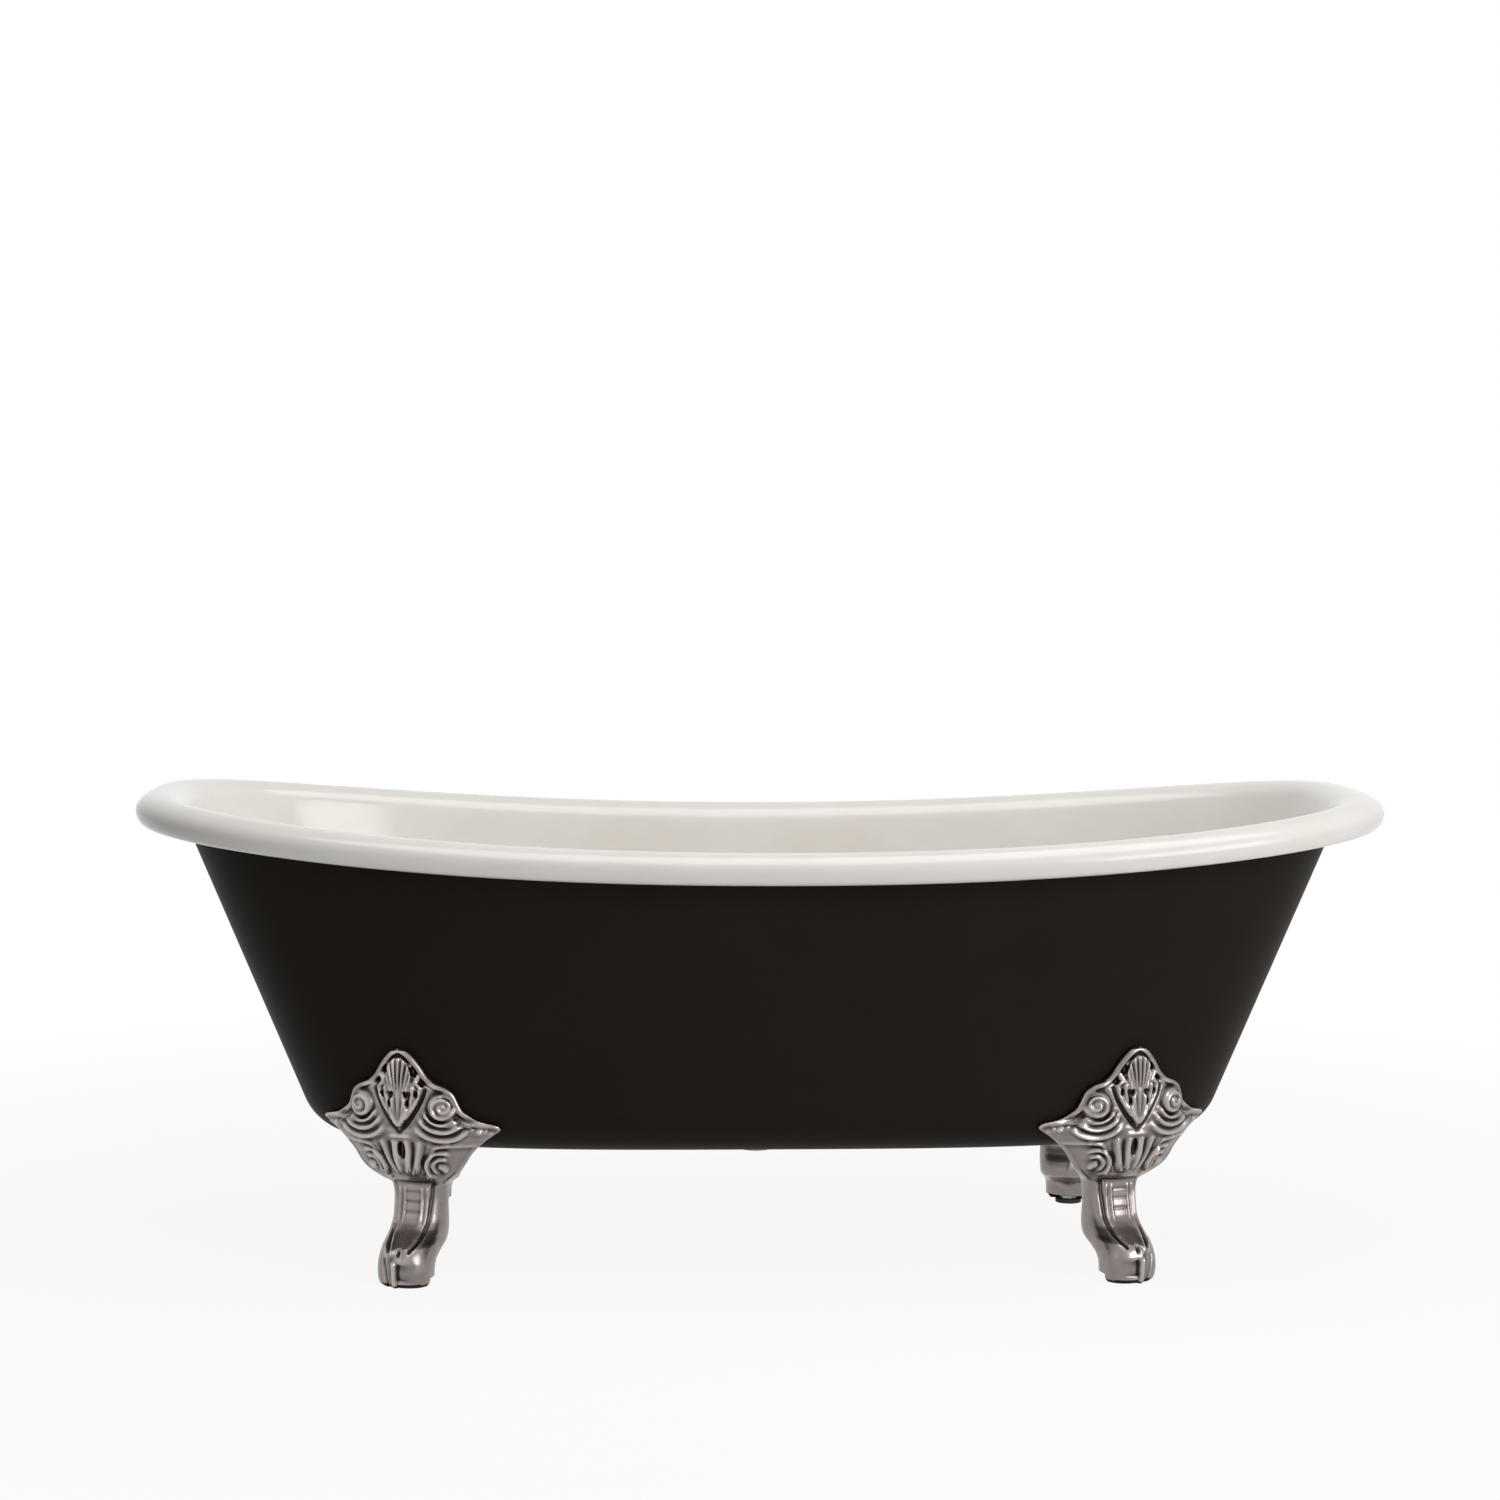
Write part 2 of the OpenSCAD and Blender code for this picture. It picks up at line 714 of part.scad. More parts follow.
module plug_stem() {
    color([0.70, 0.60, 0.38])
    at_waste(piston_bottom) {
        cylinder(d = chamber_diameter - 4 * running_gap, h = piston_height);
        cylinder(d = stem_diameter, h = plug_bottom + plug_thickness / 2 - saddle_gap
            - piston_bottom);
    }
}

module plug_seal() {
    color([0.10, 0.10, 0.10])
    at_waste(flange_top + seat_gap)
    tube(plug_diameter - 2 * seal_thickness, waste_bore + 2 * seal_thickness, seal_thickness);
}

module plug_cartridge() {
    color([0.70, 0.60, 0.38])
    at_waste(0)
    difference() {
        translate([0, 0, chamber_bottom - cartridge_wall])
        cylinder(d = cartridge_diameter, h = cartridge_top - chamber_bottom + cartridge_wall);
        translate([0, 0, chamber_bottom])
        cylinder(d = chamber_diameter, h = chamber_top - chamber_bottom);
        translate([0, 0, chamber_bottom])
        cylinder(d = stem_diameter + 2 * running_gap, h = cartridge_top + overrun - chamber_bottom);
    }
}

module cartridge_spring() {
    color([0.75, 0.76, 0.77])
    at_waste(chamber_bottom + seat_gap)
    tube(chamber_diameter - 4 * seat_gap, stem_diameter, spring_length);
}

// Overflow on the rear wall: local +Z points out through the wall at its middle
overflow_height = rim_height + crown_height - overflow_drop;
side_throat = throat_foot(half_width, rim_height, side_lean, 0);
overflow_distance = side_throat[0] - (side_throat[1] - overflow_height) * tan(side_lean);
module at_overflow(out) {
    translate([0, overflow_distance, overflow_height])
    rotate([-90 - side_lean, 0, 0])
    translate([0, 0, out])
    children();
}

// Gap between a flat seal and the bath's slightly curved wall
curved_gap = 0.35;
face_back = -seal_thickness - curved_gap - seat_gap;
elbow_face = wall_thickness + seal_thickness + 2 * seat_gap;
elbow_flange_thickness = 4;
elbow_flange_diameter = overflow_face - 2 * seal_thickness;
elbow_reach = elbow_face - wall_thickness + pipe_stand_off;
elbow_centre = [
    overflow_distance + elbow_reach * cos(side_lean),
    overflow_height - elbow_reach * sin(side_lean)
];
elbow_drop = 44;
elbow_end = elbow_centre[1] - elbow_drop;
drain_slots = 8;
drain_slot_diameter = 7;
drain_slot_reach_share = 0.3;
screw_head_diameter = 2 * overflow_screw_diameter;
screw_head_height = overflow_screw_diameter / 2;

module overflow_faceplate() {
    color([0.72, 0.70, 0.68])
    at_overflow(face_back - overflow_face_thickness)
    difference() {
        cylinder(d = overflow_face, h = overflow_face_thickness);
        translate([0, 0, -overrun])
        cylinder(
            d = overflow_screw_diameter + 2 * running_gap,
            h = overflow_face_thickness + 2 * overrun
        );
        for (i = [0:drain_slots - 1])
            rotate([0, 0, 360 * i / drain_slots])
            translate([drain_slot_reach_share * overflow_face - drain_slot_diameter, 0, -overrun])
            cylinder(d = drain_slot_diameter, h = overflow_face_thickness + 2 * overrun);
    }
}

module overflow_screw() {
    color([0.74, 0.73, 0.71])
    at_overflow(face_back - overflow_face_thickness - seat_gap) {
        translate([0, 0, -screw_head_height])
        cylinder(d = screw_head_diameter, h = screw_head_height);
        translate([0, 0, -screw_head_height / 2])
        cylinder(
            d = overflow_screw_diameter,
            h = elbow_face - face_back + overflow_face_thickness + 2 * screw_head_height
        );
    }
}

module overflow_inner_seal() {
    color([0.12, 0.12, 0.12])
    at_overflow(-seal_thickness - curved_gap)
    tube(elbow_flange_diameter, overflow_hole, seal_thickness);
}

module overflow_outer_seal() {
    color([0.12, 0.12, 0.12])
    at_overflow(wall_thickness + seat_gap)
    tube(elbow_flange_diameter, overflow_hole, seal_thickness);
}

neck_diameter = socket_diameter - socket_wall;
neck_bore = pipe_bore - 2 * pipe_wall;
ball_share = 1.06;
ball_diameter = ball_share * socket_diameter;
// How far each bore runs past the elbow's middle, as a share of the bore
bore_meeting_share = 0.35;

// Outside of the elbow: a flange on the bath, a short neck, a ball and the pipe's socket
module elbow_body() {
    at_overflow(elbow_face)
    cylinder(d = elbow_flange_diameter, h = elbow_flange_thickness);
    at_overflow(elbow_face)
    cylinder(d = neck_diameter, h = elbow_reach - elbow_face);
    translate([0, elbow_centre[0], elbow_centre[1]])
    sphere(d = ball_diameter);
    translate([0, elbow_centre[0], elbow_end])
    cylinder(d = socket_diameter, h = elbow_drop);
}

// Bores of the elbow: in through the neck, down to the socket and the pipe's seat
module elbow_bores() {
    meeting = bore_meeting_share * pipe_bore;
    at_overflow(elbow_face - overrun)
    cylinder(d = neck_bore, h = elbow_reach - elbow_face + overrun + meeting);
    translate([0, elbow_centre[0], elbow_end - overrun])
    cylinder(d = pipe_bore, h = elbow_drop + overrun + meeting);
    translate([0, elbow_centre[0], elbow_end - overrun])
    cylinder(d = pipe_diameter + 2 * running_gap, h = socket_depth + saddle_gap + overrun);
}

// Hole for the faceplate's screw in the bar across the neck's mouth
module elbow_screw_hole() {
    at_overflow(elbow_face - overrun)
    cylinder(d = overflow_screw_diameter + 2 * running_gap, h = bridge_width + 2 * overrun);
}

module overflow_elbow() {
    color([0.60, 0.57, 0.52])
    difference() {
        union() {
            difference() {
                elbow_body();
                elbow_bores();
            }
            at_overflow(elbow_face)
            translate([-pipe_diameter / 2, -bridge_width, 0])
            cube([pipe_diameter, 2 * bridge_width, bridge_width]);
        }
        elbow_screw_hole();
    }
}

pipe_top = elbow_end + socket_depth;
pipe_front = spigot_end - socket_depth;
bend_centre = [elbow_centre[0] - pipe_bend, spigot_height + pipe_bend];

// Solid run of the overflow pipe: down, round the bend and in to the tee
module pipe_run(diameter, spare) {
    translate([0, elbow_centre[0], bend_centre[1]])
    cylinder(d = diameter, h = pipe_top - bend_centre[1] + spare);
    translate([0, bend_centre[0], bend_centre[1]])
    rotate([0, 90, 0])
    rotate_extrude(angle = 90)
    translate([pipe_bend, 0]) circle(d = diameter);
    translate([0, pipe_front - spare, spigot_height])
    rotate([-90, 0, 0])
    cylinder(d = diameter, h = bend_centre[0] - pipe_front + spare);
}

module overflow_pipe() {
    color([0.70, 0.68, 0.66])
    difference() {
        pipe_run(pipe_diameter, 0);
        pipe_run(pipe_bore, overrun);
    }
}

// Compression joint: local +Z runs from the socket's end along the pipe
ring_length = 4;
nut_wall = 3;
nut_flats = socket_diameter + 2 * nut_wall;
nut_grip = nut_length - ring_length - nut_wall;
module at_top_joint() {
    translate([0, elbow_centre[0], elbow_end]) rotate([180, 0, 0]) children();
}

module at_bottom_joint() {
    translate([0, spigot_end, spigot_height]) rotate([-90, 0, 0]) children();
}

module compression_nut() {
    color([0.72, 0.70, 0.68])
    difference() {
        translate([0, 0, -nut_grip]) hexagon(nut_flats, nut_length);
        translate([0, 0, -nut_grip - overrun])
        cylinder(
            d = socket_diameter + 2 * running_gap,
            h = nut_grip + ring_length + 2 * seat_gap + overrun
        );
        cylinder(d = pipe_diameter + 2 * running_gap, h = nut_length + overrun);
    }
}

module overflow_top_nut() {
    at_top_joint() compression_nut();
}

module overflow_bottom_nut() {
    at_bottom_joint() compression_nut();
}

module sealing_ring() {
    translate([0, 0, seat_gap])
    tube(socket_diameter - socket_wall, pipe_diameter + 2 * running_gap, ring_length);
}

module overflow_sealing_rings() {
    color([0.12, 0.12, 0.12]) {
        at_top_joint() sealing_ring();
        at_bottom_joint() sealing_ring();
    }
}

// Holes through the bath for the waste and the overflow
module plumbing_holes() {
    at_waste(underside_height - boss_height)
    cylinder(d = waste_hole, h = wall_thickness + boss_height + overrun);
    at_overflow(-wall_thickness)
    cylinder(d = overflow_hole, h = 3 * wall_thickness);
}

module bath_shell() {
    color([0.11, 0.10, 0.09])
    difference() {
        union() {
            wall_layer(enamel_thickness, wall_thickness);
            each_corner() bolt_boss();
        }
        each_corner() bolt_hole();
        plumbing_holes();
    }
}

module enamel_lining() {
    color([0.93, 0.92, 0.90])
    difference() {
        wall_layer(0, enamel_thickness - bond_gap);
        plumbing_holes();
    }
}

bath_shell();
enamel_lining();
claw_foot(true, false);  // foot_front_left
claw_foot(false, false);  // foot_front_right
claw_foot(true, true);  // foot_rear_left
claw_foot(false, true);  // foot_rear_right
foot_bolts();
foot_washers();
level_screw(true, false);  // level_screw_front_left
level_screw(false, false);  // level_screw_front_right
level_screw(true, true);  // level_screw_rear_left
level_screw(false, true);  // level_screw_rear_right
level_pad(true, false);  // level_pad_front_left
level_pad(false, false);  // level_pad_front_right
level_pad(true, true);  // level_pad_rear_left
level_pad(false, true);  // level_pad_rear_right
waste_flange();
waste_flange_seal();
waste_tee();
waste_tee_seal();
plug_cap();
plug_stem();
plug_seal();
plug_cartridge();
cartridge_spring();
overflow_faceplate();
overflow_screw();
overflow_inner_seal();
overflow_outer_seal();
overflow_elbow();
overflow_pipe();
overflow_top_nut();
overflow_bottom_nut();
overflow_sealing_rings();
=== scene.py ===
"""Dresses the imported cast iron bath: smooth casting, enamel, claw feet with their relief,
fittings and a studio stage."""

import math

import bmesh
import bpy
import numpy as np
from bpy.props import FloatProperty, IntProperty, PointerProperty, StringProperty
from mathutils import Matrix, Vector

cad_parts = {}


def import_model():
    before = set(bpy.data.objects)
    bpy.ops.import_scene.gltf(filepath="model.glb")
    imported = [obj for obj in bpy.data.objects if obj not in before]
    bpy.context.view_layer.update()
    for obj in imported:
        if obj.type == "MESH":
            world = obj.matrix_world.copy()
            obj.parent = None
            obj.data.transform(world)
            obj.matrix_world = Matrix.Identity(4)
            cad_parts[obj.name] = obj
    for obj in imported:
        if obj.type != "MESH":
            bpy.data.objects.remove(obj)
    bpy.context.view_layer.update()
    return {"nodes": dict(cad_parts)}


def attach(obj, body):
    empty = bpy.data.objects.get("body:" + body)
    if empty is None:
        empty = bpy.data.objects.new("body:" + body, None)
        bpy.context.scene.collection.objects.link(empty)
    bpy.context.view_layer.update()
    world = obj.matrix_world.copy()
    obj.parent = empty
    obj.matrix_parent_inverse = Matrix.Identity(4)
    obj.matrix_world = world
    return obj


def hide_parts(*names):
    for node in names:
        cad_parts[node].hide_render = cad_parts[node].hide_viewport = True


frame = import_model()

bl_info = {
    "name": "Claw-foot bath dressing",
    "version": (1, 0, 0),
    "blender": (4, 5, 0),
    "location": "3D View > Sidebar > Bath",
    "description": "Builds the visible pieces and finishes of a claw-foot bath on its frame",
    "category": "Object",
}

MM = 0.001
TINY = 1e-9

# Bath, in millimetres, as the frame was made
BATH_LENGTH = 1700.0
BATH_WIDTH = 790.0
RIM_HEIGHT = 561.0
END_RISE = 53.0
UNDERSIDE_HEIGHT = 172.5
IRON_THICKNESS = 7.5
ENAMEL_THICKNESS = 1.5
END_LEAN = math.radians(22.7)
SIDE_LEAN = math.radians(7.3)
FLOOR_CORNER_RADIUS = 66.0
PLAN_SQUARENESS = 3.1
RISE_POWER = 2.1
CROWN_INSET = 31.0
CROWN_HEIGHT = 20.7
THROAT_WIDTH = 38.0
THROAT_HEIGHT = 31.0
LIP_WIDTH = 14.0
LIP_DROP = 19.5
BOND_GAP = 0.05
WALL_THICKNESS = IRON_THICKNESS + ENAMEL_THICKNESS
HALF_LENGTH = BATH_LENGTH / 2
HALF_WIDTH = BATH_WIDTH / 2
CORNER_CENTRE_HEIGHT = UNDERSIDE_HEIGHT + WALL_THICKNESS + FLOOR_CORNER_RADIUS
OUTER_CORNER_RADIUS = FLOOR_CORNER_RADIUS + WALL_THICKNESS

# Holes and bosses in the casting
WASTE_OFFSET = 105.0
WASTE_HOLE = 52.0
OVERFLOW_HOLE = 48.0
OVERFLOW_DROP = 116.0
BOSS_DIAMETER = 42.0
BOSS_HEIGHT = 8.0
BOLT_DEPTH = 142.0

# Claw feet
FOOT_OFFSET = 483.0
FOOT_SPLAY = math.radians(20)
SHIELD_HEIGHT = 143.5
WING_REACH = 128.0
SHIELD_EDGE = 7.0
FOOT_DEPTH = 106.0
PAW_HALF_WIDTH = 36.0
SADDLE_GAP = 0.5
SKIRT_LEAN = 12.0
SKIRT_HEIGHT = 45.0
HEEL_SHARE = 0.065
HEEL_HEIGHT = HEEL_SHARE * UNDERSIDE_HEIGHT
HEEL_BACK_SHARE = -0.48
HEEL_EDGE_SHARE = 0.97
SOLE_BACK_SHARE = 0.125
SHIELD_BACK_SHARE = 0.7
WING_SHARE = 0.275
EDGE_POWER = 0.3
BULGE_POWER = 1.4
LEG_POWER = 0.8
LUG_BOTTOM = 152.4
LUG_THICKNESS = 12.0
LUG_ROOT = 26.5
LUG_BOLT_HOLE = 13.0
RIB_WIDTH = 16.0
RIB_FOOT_SHARE = 0.8
RIB_HEIGHT_SHARE = 0.7
WASHER_DIAMETER = 24.0
LEVEL_DEPTH = 34.0
LEVEL_BORE = 12.16
LEVEL_BORE_HEIGHT = 45.2
CREST_HEIGHT = UNDERSIDE_HEIGHT + SHIELD_HEIGHT
WING_HEIGHT = UNDERSIDE_HEIGHT + WING_SHARE * SHIELD_HEIGHT

# Rows of the leg: height share of the underside, front and back shares of the foot's depth,
# half-width share of the paw, and how far the row has turned into the shield
LEG_ROW_SHARES = np.array([
    [0.000, 0.070, -0.100, 0.86, 0],
    [0.030, 0.130, -0.120, 0.96, 0],
    [HEEL_EDGE_SHARE * HEEL_SHARE, 0.155, -0.125, 0.99, 0],
    [HEEL_SHARE, 0.156, -0.480, 0.99, 0],
    [0.125, 0.170, -0.490, 1.00, 0],
    [0.185, 0.170, -0.560, 1.00, 0],
    [0.240, 0.150, -0.740, 1.01, 0],
    [0.295, 0.095, -0.950, 1.02, 0],
    [0.350, -0.055, -1.000, 1.00, 0],
    [0.410, -0.210, -0.985, 0.99, 0],
    [0.485, -0.320, -0.950, 0.98, 0],
    [0.570, -0.360, -0.925, 0.98, 0],
    [0.650, -0.380, -0.925, 0.99, 0],
    [0.725, -0.375, -0.920, 1.06, 0],
    [0.775, -0.340, -0.900, 1.35, 0.25],
    [0.825, -0.270, -0.870, 1.65, 0.5],
    [0.870, -0.200, -0.830, 1.88, 0.7],
    [0.930, -0.115, -0.760, 2.10, 0.85],
])

# Rows of the shield: height share, half-width share of the wings, front share of the depth
SHIELD_ROW_SHARES = np.array([
    [0.000, 0.655, -0.045],
    [0.078, 0.735, -0.005],
    [0.146, 0.820, 0.025],
    [0.207, 0.920, 0.050],
    [0.248, 0.985, 0.060],
    [WING_SHARE, 1.000, 0.066],
    [0.302, 0.930, 0.072],
    [0.329, 0.800, 0.077],
    [0.383, 0.700, 0.080],
    [0.451, 0.620, 0.083],
    [0.519, 0.585, 0.085],
    [0.586, 0.550, 0.086],
    [0.641, 0.480, 0.087],
    [0.688, 0.360, 0.088],
    [0.756, 0.275, 0.088],
    [0.844, 0.210, 0.086],
    [0.919, 0.145, 0.083],
    [0.966, 0.090, 0.080],
    [1.000, 0.030, 0.075],
])

CORNERS = {
    "front_left": (-1, 1),
    "front_right": (1, 1),
    "rear_left": (-1, -1),
    "rear_right": (1, -1),
}


# Sizes and colours that a user would change


class BathDetail(bpy.types.PropertyGroup):
    stations: IntProperty(
        name="Stations round the bath",
        description="How many points each ring of the casting has",
        default=320,
        min=64,
    )
    foot_step: FloatProperty(
        name="Foot row spacing",
        description="Spacing of the rows up each claw foot, in millimetres",
        default=1.0,
        min=0.5,
    )
    foot_columns: IntProperty(
        name="Foot columns",
        description="Points across the front of each claw foot",
        default=251,
        min=41,
    )
    relief: FloatProperty(
        name="Relief depth",
        description="Scale of the ornament on the feet",
        default=1.0,
        min=0.0,
        max=1.5,
        subtype="FACTOR",
    )


class BathColours(bpy.types.PropertyGroup):
    enamel: StringProperty(name="Enamel", description="Fired white enamel", default="#F5F1EB")
    enamel_mottle: StringProperty(
        name="Enamel mottle", description="Warmer patches in the enamel", default="#F1ECE5"
    )
    paint: StringProperty(name="Paint", description="Satin black paint", default="#29241F")
    paint_cloud: StringProperty(
        name="Paint cloud", description="Darker patches in the paint", default="#241F1B"
    )
    nickel: StringProperty(name="Nickel", description="Aged nickel plate", default="#8A827F")
    # Lighter nickel: on the feet's high places partly wear, partly a painted highlight
    pale_nickel: StringProperty(
        name="Worn nickel", description="Nickel polished on its high places", default="#B4ADA8"
    )
    # Darker nickel: in the feet's hollows partly tarnish, partly painted shade
    patina_and_shade: StringProperty(
        name="Patina", description="Darker nickel in the hollows", default="#2E2A28"
    )
    zinc: StringProperty(name="Zinc", description="Zinc-plated steel", default="#B4B7BA")
    brass: StringProperty(name="Brass", description="Turned brass", default="#C9A866")
    cast_brass: StringProperty(name="Cast brass", description="Dull cast brass", default="#9C8660")
    rubber: StringProperty(name="Rubber", description="Black rubber", default="#1B1B1B")
    bloom: StringProperty(name="Bloom", description="Grey bloom on rubber", default="#2A2A29")
    floor: StringProperty(name="Floor", description="White studio floor", default="#F0F0F0")


class BathStage(bpy.types.PropertyGroup):
    key_watts: FloatProperty(
        name="Key lamp", description="Large lamp at the right", default=60.0, min=0.0, unit="POWER"
    )
    top_watts: FloatProperty(
        name="Top lamp", description="Large lamp overhead", default=44.0, min=0.0, unit="POWER"
    )
    fill_watts: FloatProperty(
        name="Fill lamp", description="Weak lamp at the left", default=2.0, min=0.0, unit="POWER"
    )
    surround: FloatProperty(
        name="Surround", description="Light that the white room gives", default=0.11, min=0.0
    )


# Shape of the bath


def mix(a, b, share):
    return a + (b - a) * share


def smooth(value, low, high):
    """Rises smoothly from 0 at low to 1 at high."""
    share = np.clip((value - low) / (high - low), 0, 1)
    return share * share * (3 - 2 * share)


def signed_power(value, power):
    return np.sign(value) * np.abs(value) ** power


def rise_share(turn):
    return np.abs(np.cos(turn)) ** (2 * RISE_POWER / PLAN_SQUARENESS)


def rim_height_at(turn):
    return RIM_HEIGHT + END_RISE * rise_share(turn)


def lean_at(turn):
    return mix(SIDE_LEAN, END_LEAN, rise_share(turn))


def plan_shares(turn):
    power = 2 / PLAN_SQUARENESS
    return signed_power(np.cos(turn), power), signed_power(np.sin(turn), power)


def throat_angle(lean, depth):
    return np.arctan((THROAT_HEIGHT - depth) * np.tan(lean) / (THROAT_WIDTH - depth))


def throat_foot(half, rim, lean, depth):
    """Where the throat's curve meets the leaning wall, as distance from the middle and height."""
    angle = throat_angle(lean, depth)
    return (
        half - CROWN_INSET - (THROAT_WIDTH - depth) * np.cos(angle),
        rim + CROWN_HEIGHT - THROAT_HEIGHT + (THROAT_HEIGHT - depth) * np.sin(angle),
    )


def corner_centre(half, rim, lean):
    reach, height = throat_foot(half, rim, lean, 0)
    drop = (height - CORNER_CENTRE_HEIGHT) * np.tan(lean)
    return reach - drop - FLOOR_CORNER_RADIUS / np.cos(lean)


END_CORNER = corner_centre(HALF_LENGTH, RIM_HEIGHT + END_RISE, END_LEAN)
SIDE_CORNER = corner_centre(HALF_WIDTH, RIM_HEIGHT, SIDE_LEAN)
END_HEAD = throat_foot(HALF_LENGTH, RIM_HEIGHT + END_RISE, END_LEAN, WALL_THICKNESS)[0]
SIDE_HEAD = throat_foot(HALF_WIDTH, RIM_HEIGHT, SIDE_LEAN, WALL_THICKNESS)[0]

# How finely each stretch of the wall's section is drawn
CORNER_STEPS = np.linspace(0, 1, 19)
WALL_STEPS = np.linspace(0, 1, 26)[1:-1]
THROAT_STEPS = np.linspace(0, 1, 15)
NOSE_STEPS = np.linspace(0, 1, 17)[1:]
LIP_STEPS = np.linspace(0, 1, 13)[1:]


def section(half, rim, lean, depth):
    """Section of the wall at a depth below the finished face, from the floor's edge to the lip.
    half, rim and lean are numbers or arrays over the stations."""
    centre = corner_centre(half, rim, lean)
    radius = FLOOR_CORNER_RADIUS + depth
    sweep = math.pi / 2 - lean
    points = []
    for share in CORNER_STEPS:
        angle = share * sweep
        points.append(
            (centre + radius * np.sin(angle), CORNER_CENTRE_HEIGHT - radius * np.cos(angle))
        )
    foot = (centre + radius * np.cos(lean), CORNER_CENTRE_HEIGHT - radius * np.sin(lean))
    head = throat_foot(half, rim, lean, depth)
    for share in WALL_STEPS:
        points.append((mix(foot[0], head[0], share), mix(foot[1], head[1], share)))
    start = throat_angle(lean, depth)
    for share in THROAT_STEPS:
        angle = mix(start, math.pi / 2, share)
        points.append((
            half - CROWN_INSET - (THROAT_WIDTH - depth) * np.cos(angle),
            rim + CROWN_HEIGHT - THROAT_HEIGHT + (THROAT_HEIGHT - depth) * np.sin(angle),
        ))
    for share in NOSE_STEPS:
        angle = math.pi / 2 * (1 - share)
        points.append((
            half - CROWN_INSET + (CROWN_INSET - depth) * np.cos(angle),
            rim + (CROWN_HEIGHT - depth) * np.sin(angle),
        ))
    for share in LIP_STEPS:
        angle = math.pi / 2 * share
        points.append((
            half - LIP_WIDTH + (LIP_WIDTH - depth) * np.cos(angle),
            rim - (LIP_DROP - depth) * np.sin(angle),
        ))
    return points


def skin_rings(depth, stations):
    """Rings of points round the bath at a depth below the finished face, in millimetres."""
    turn = 2 * math.pi * np.arange(stations) / stations
    along, across = plan_shares(turn)
    lengthwise = section(HALF_LENGTH, RIM_HEIGHT + END_RISE, END_LEAN, depth)
    crosswise = section(HALF_WIDTH, RIM_HEIGHT, SIDE_LEAN, depth)
    heights = section(HALF_LENGTH, rim_height_at(turn), lean_at(turn), depth)
    return [
        np.stack([end[0] * along, side[0] * across, high[1]], axis=1)
        for end, side, high in zip(lengthwise, crosswise, heights)
    ]


def wall_slice(turn, height):
    """Outline of the bath's outer face at a height, in the quarter with +X and -Y."""
    lean = lean_at(turn)
    head = throat_foot(HALF_LENGTH, rim_height_at(turn), lean, WALL_THICKNESS)[1]
    low = CORNER_CENTRE_HEIGHT - OUTER_CORNER_RADIUS * np.sin(lean)
    on_wall = (height - low) / (head - low)
    drop = np.clip((CORNER_CENTRE_HEIGHT - height) / OUTER_CORNER_RADIUS, -1, 1)
    on_corner = np.arccos(drop) / (math.pi / 2 - lean)
    reach = []
    for centre, lean_here, head_here in (
        (END_CORNER, END_LEAN, END_HEAD),
        (SIDE_CORNER, SIDE_LEAN, SIDE_HEAD),
    ):
        foot = centre + OUTER_CORNER_RADIUS * math.cos(lean_here)
        bend = centre + OUTER_CORNER_RADIUS * np.sin(on_corner * (math.pi / 2 - lean_here))
        reach.append(np.where(height > low, mix(foot, head_here, on_wall), bend))
    along, across = plan_shares(turn)
    return reach[0] * along, -reach[1] * across


U_AXIS = (math.cos(FOOT_SPLAY), math.sin(FOOT_SPLAY))
V_AXIS = (math.sin(FOOT_SPLAY), -math.cos(FOOT_SPLAY))
HALVINGS = 24
FIRST_TURN = math.radians(3)
LAST_TURN = math.radians(88)


def station_along(axis, origin, target, height):
    """Station at which the outline passes a distance along an axis, by halving."""
    low = np.full(np.shape(target), FIRST_TURN)
    high = np.full(np.shape(target), LAST_TURN)
    for _ in range(HALVINGS):
        middle = (low + high) / 2
        x, y = wall_slice(middle, height)
        beyond = (x - origin[0]) * axis[0] + (y - origin[1]) * axis[1] > target
        low = np.where(beyond, middle, low)
        high = np.where(beyond, high, middle)
    return (low + high) / 2


CREST_TURN = station_along((1, 0), (0, 0), np.array(FOOT_OFFSET), np.array(CREST_HEIGHT))
FOOT_ORIGIN = [float(value) for value in wall_slice(CREST_TURN, np.array(CREST_HEIGHT))]


def wall_depth(u, height):
    """How far out of the foot's origin the bath's face lies at a place along the foot."""
    x, y = wall_slice(station_along(U_AXIS, FOOT_ORIGIN, u, height), height)
    return (x - FOOT_ORIGIN[0]) * V_AXIS[0] + (y - FOOT_ORIGIN[1]) * V_AXIS[1]


def shield_back(u, height):
    skirt = np.clip((WING_HEIGHT - height) / SKIRT_HEIGHT, 0, 1)
    return wall_depth(u, np.maximum(height, WING_HEIGHT)) + SADDLE_GAP - SKIRT_LEAN * skirt


def foot_to_bath(points):
    """Turns points in the front right foot's frame into the bath's frame."""
    u, v, height = points[:, 0], points[:, 1], points[:, 2]
    x = FOOT_ORIGIN[0] + u * U_AXIS[0] + v * V_AXIS[0]
    y = FOOT_ORIGIN[1] + u * U_AXIS[1] + v * V_AXIS[1]
    return np.stack([x, y, height], axis=1)


CORNER_CUTS = 2
CUT_SHARES = (0.25, 0.75)


def rounded(points):
    """Line through points with its corners cut off a few times, so that it bends softly."""
    for _ in range(CORNER_CUTS):
        cut = [points[0]]
        for start, end in zip(points[:-1], points[1:]):
            for share in CUT_SHARES:
                cut.append((mix(start[0], end[0], share), mix(start[1], end[1], share)))
        points = cut + [points[-1]]
    return points


# Ornament of the feet. Places are distances from the foot's middle and heights above the
# floor, in millimetres, and the same on both sides of the middle. A rib is how far it stands
# out, or is cut in where that is negative, and its half-width. A band is where a form starts
# to show and where it shows in full. Angles are in radians.

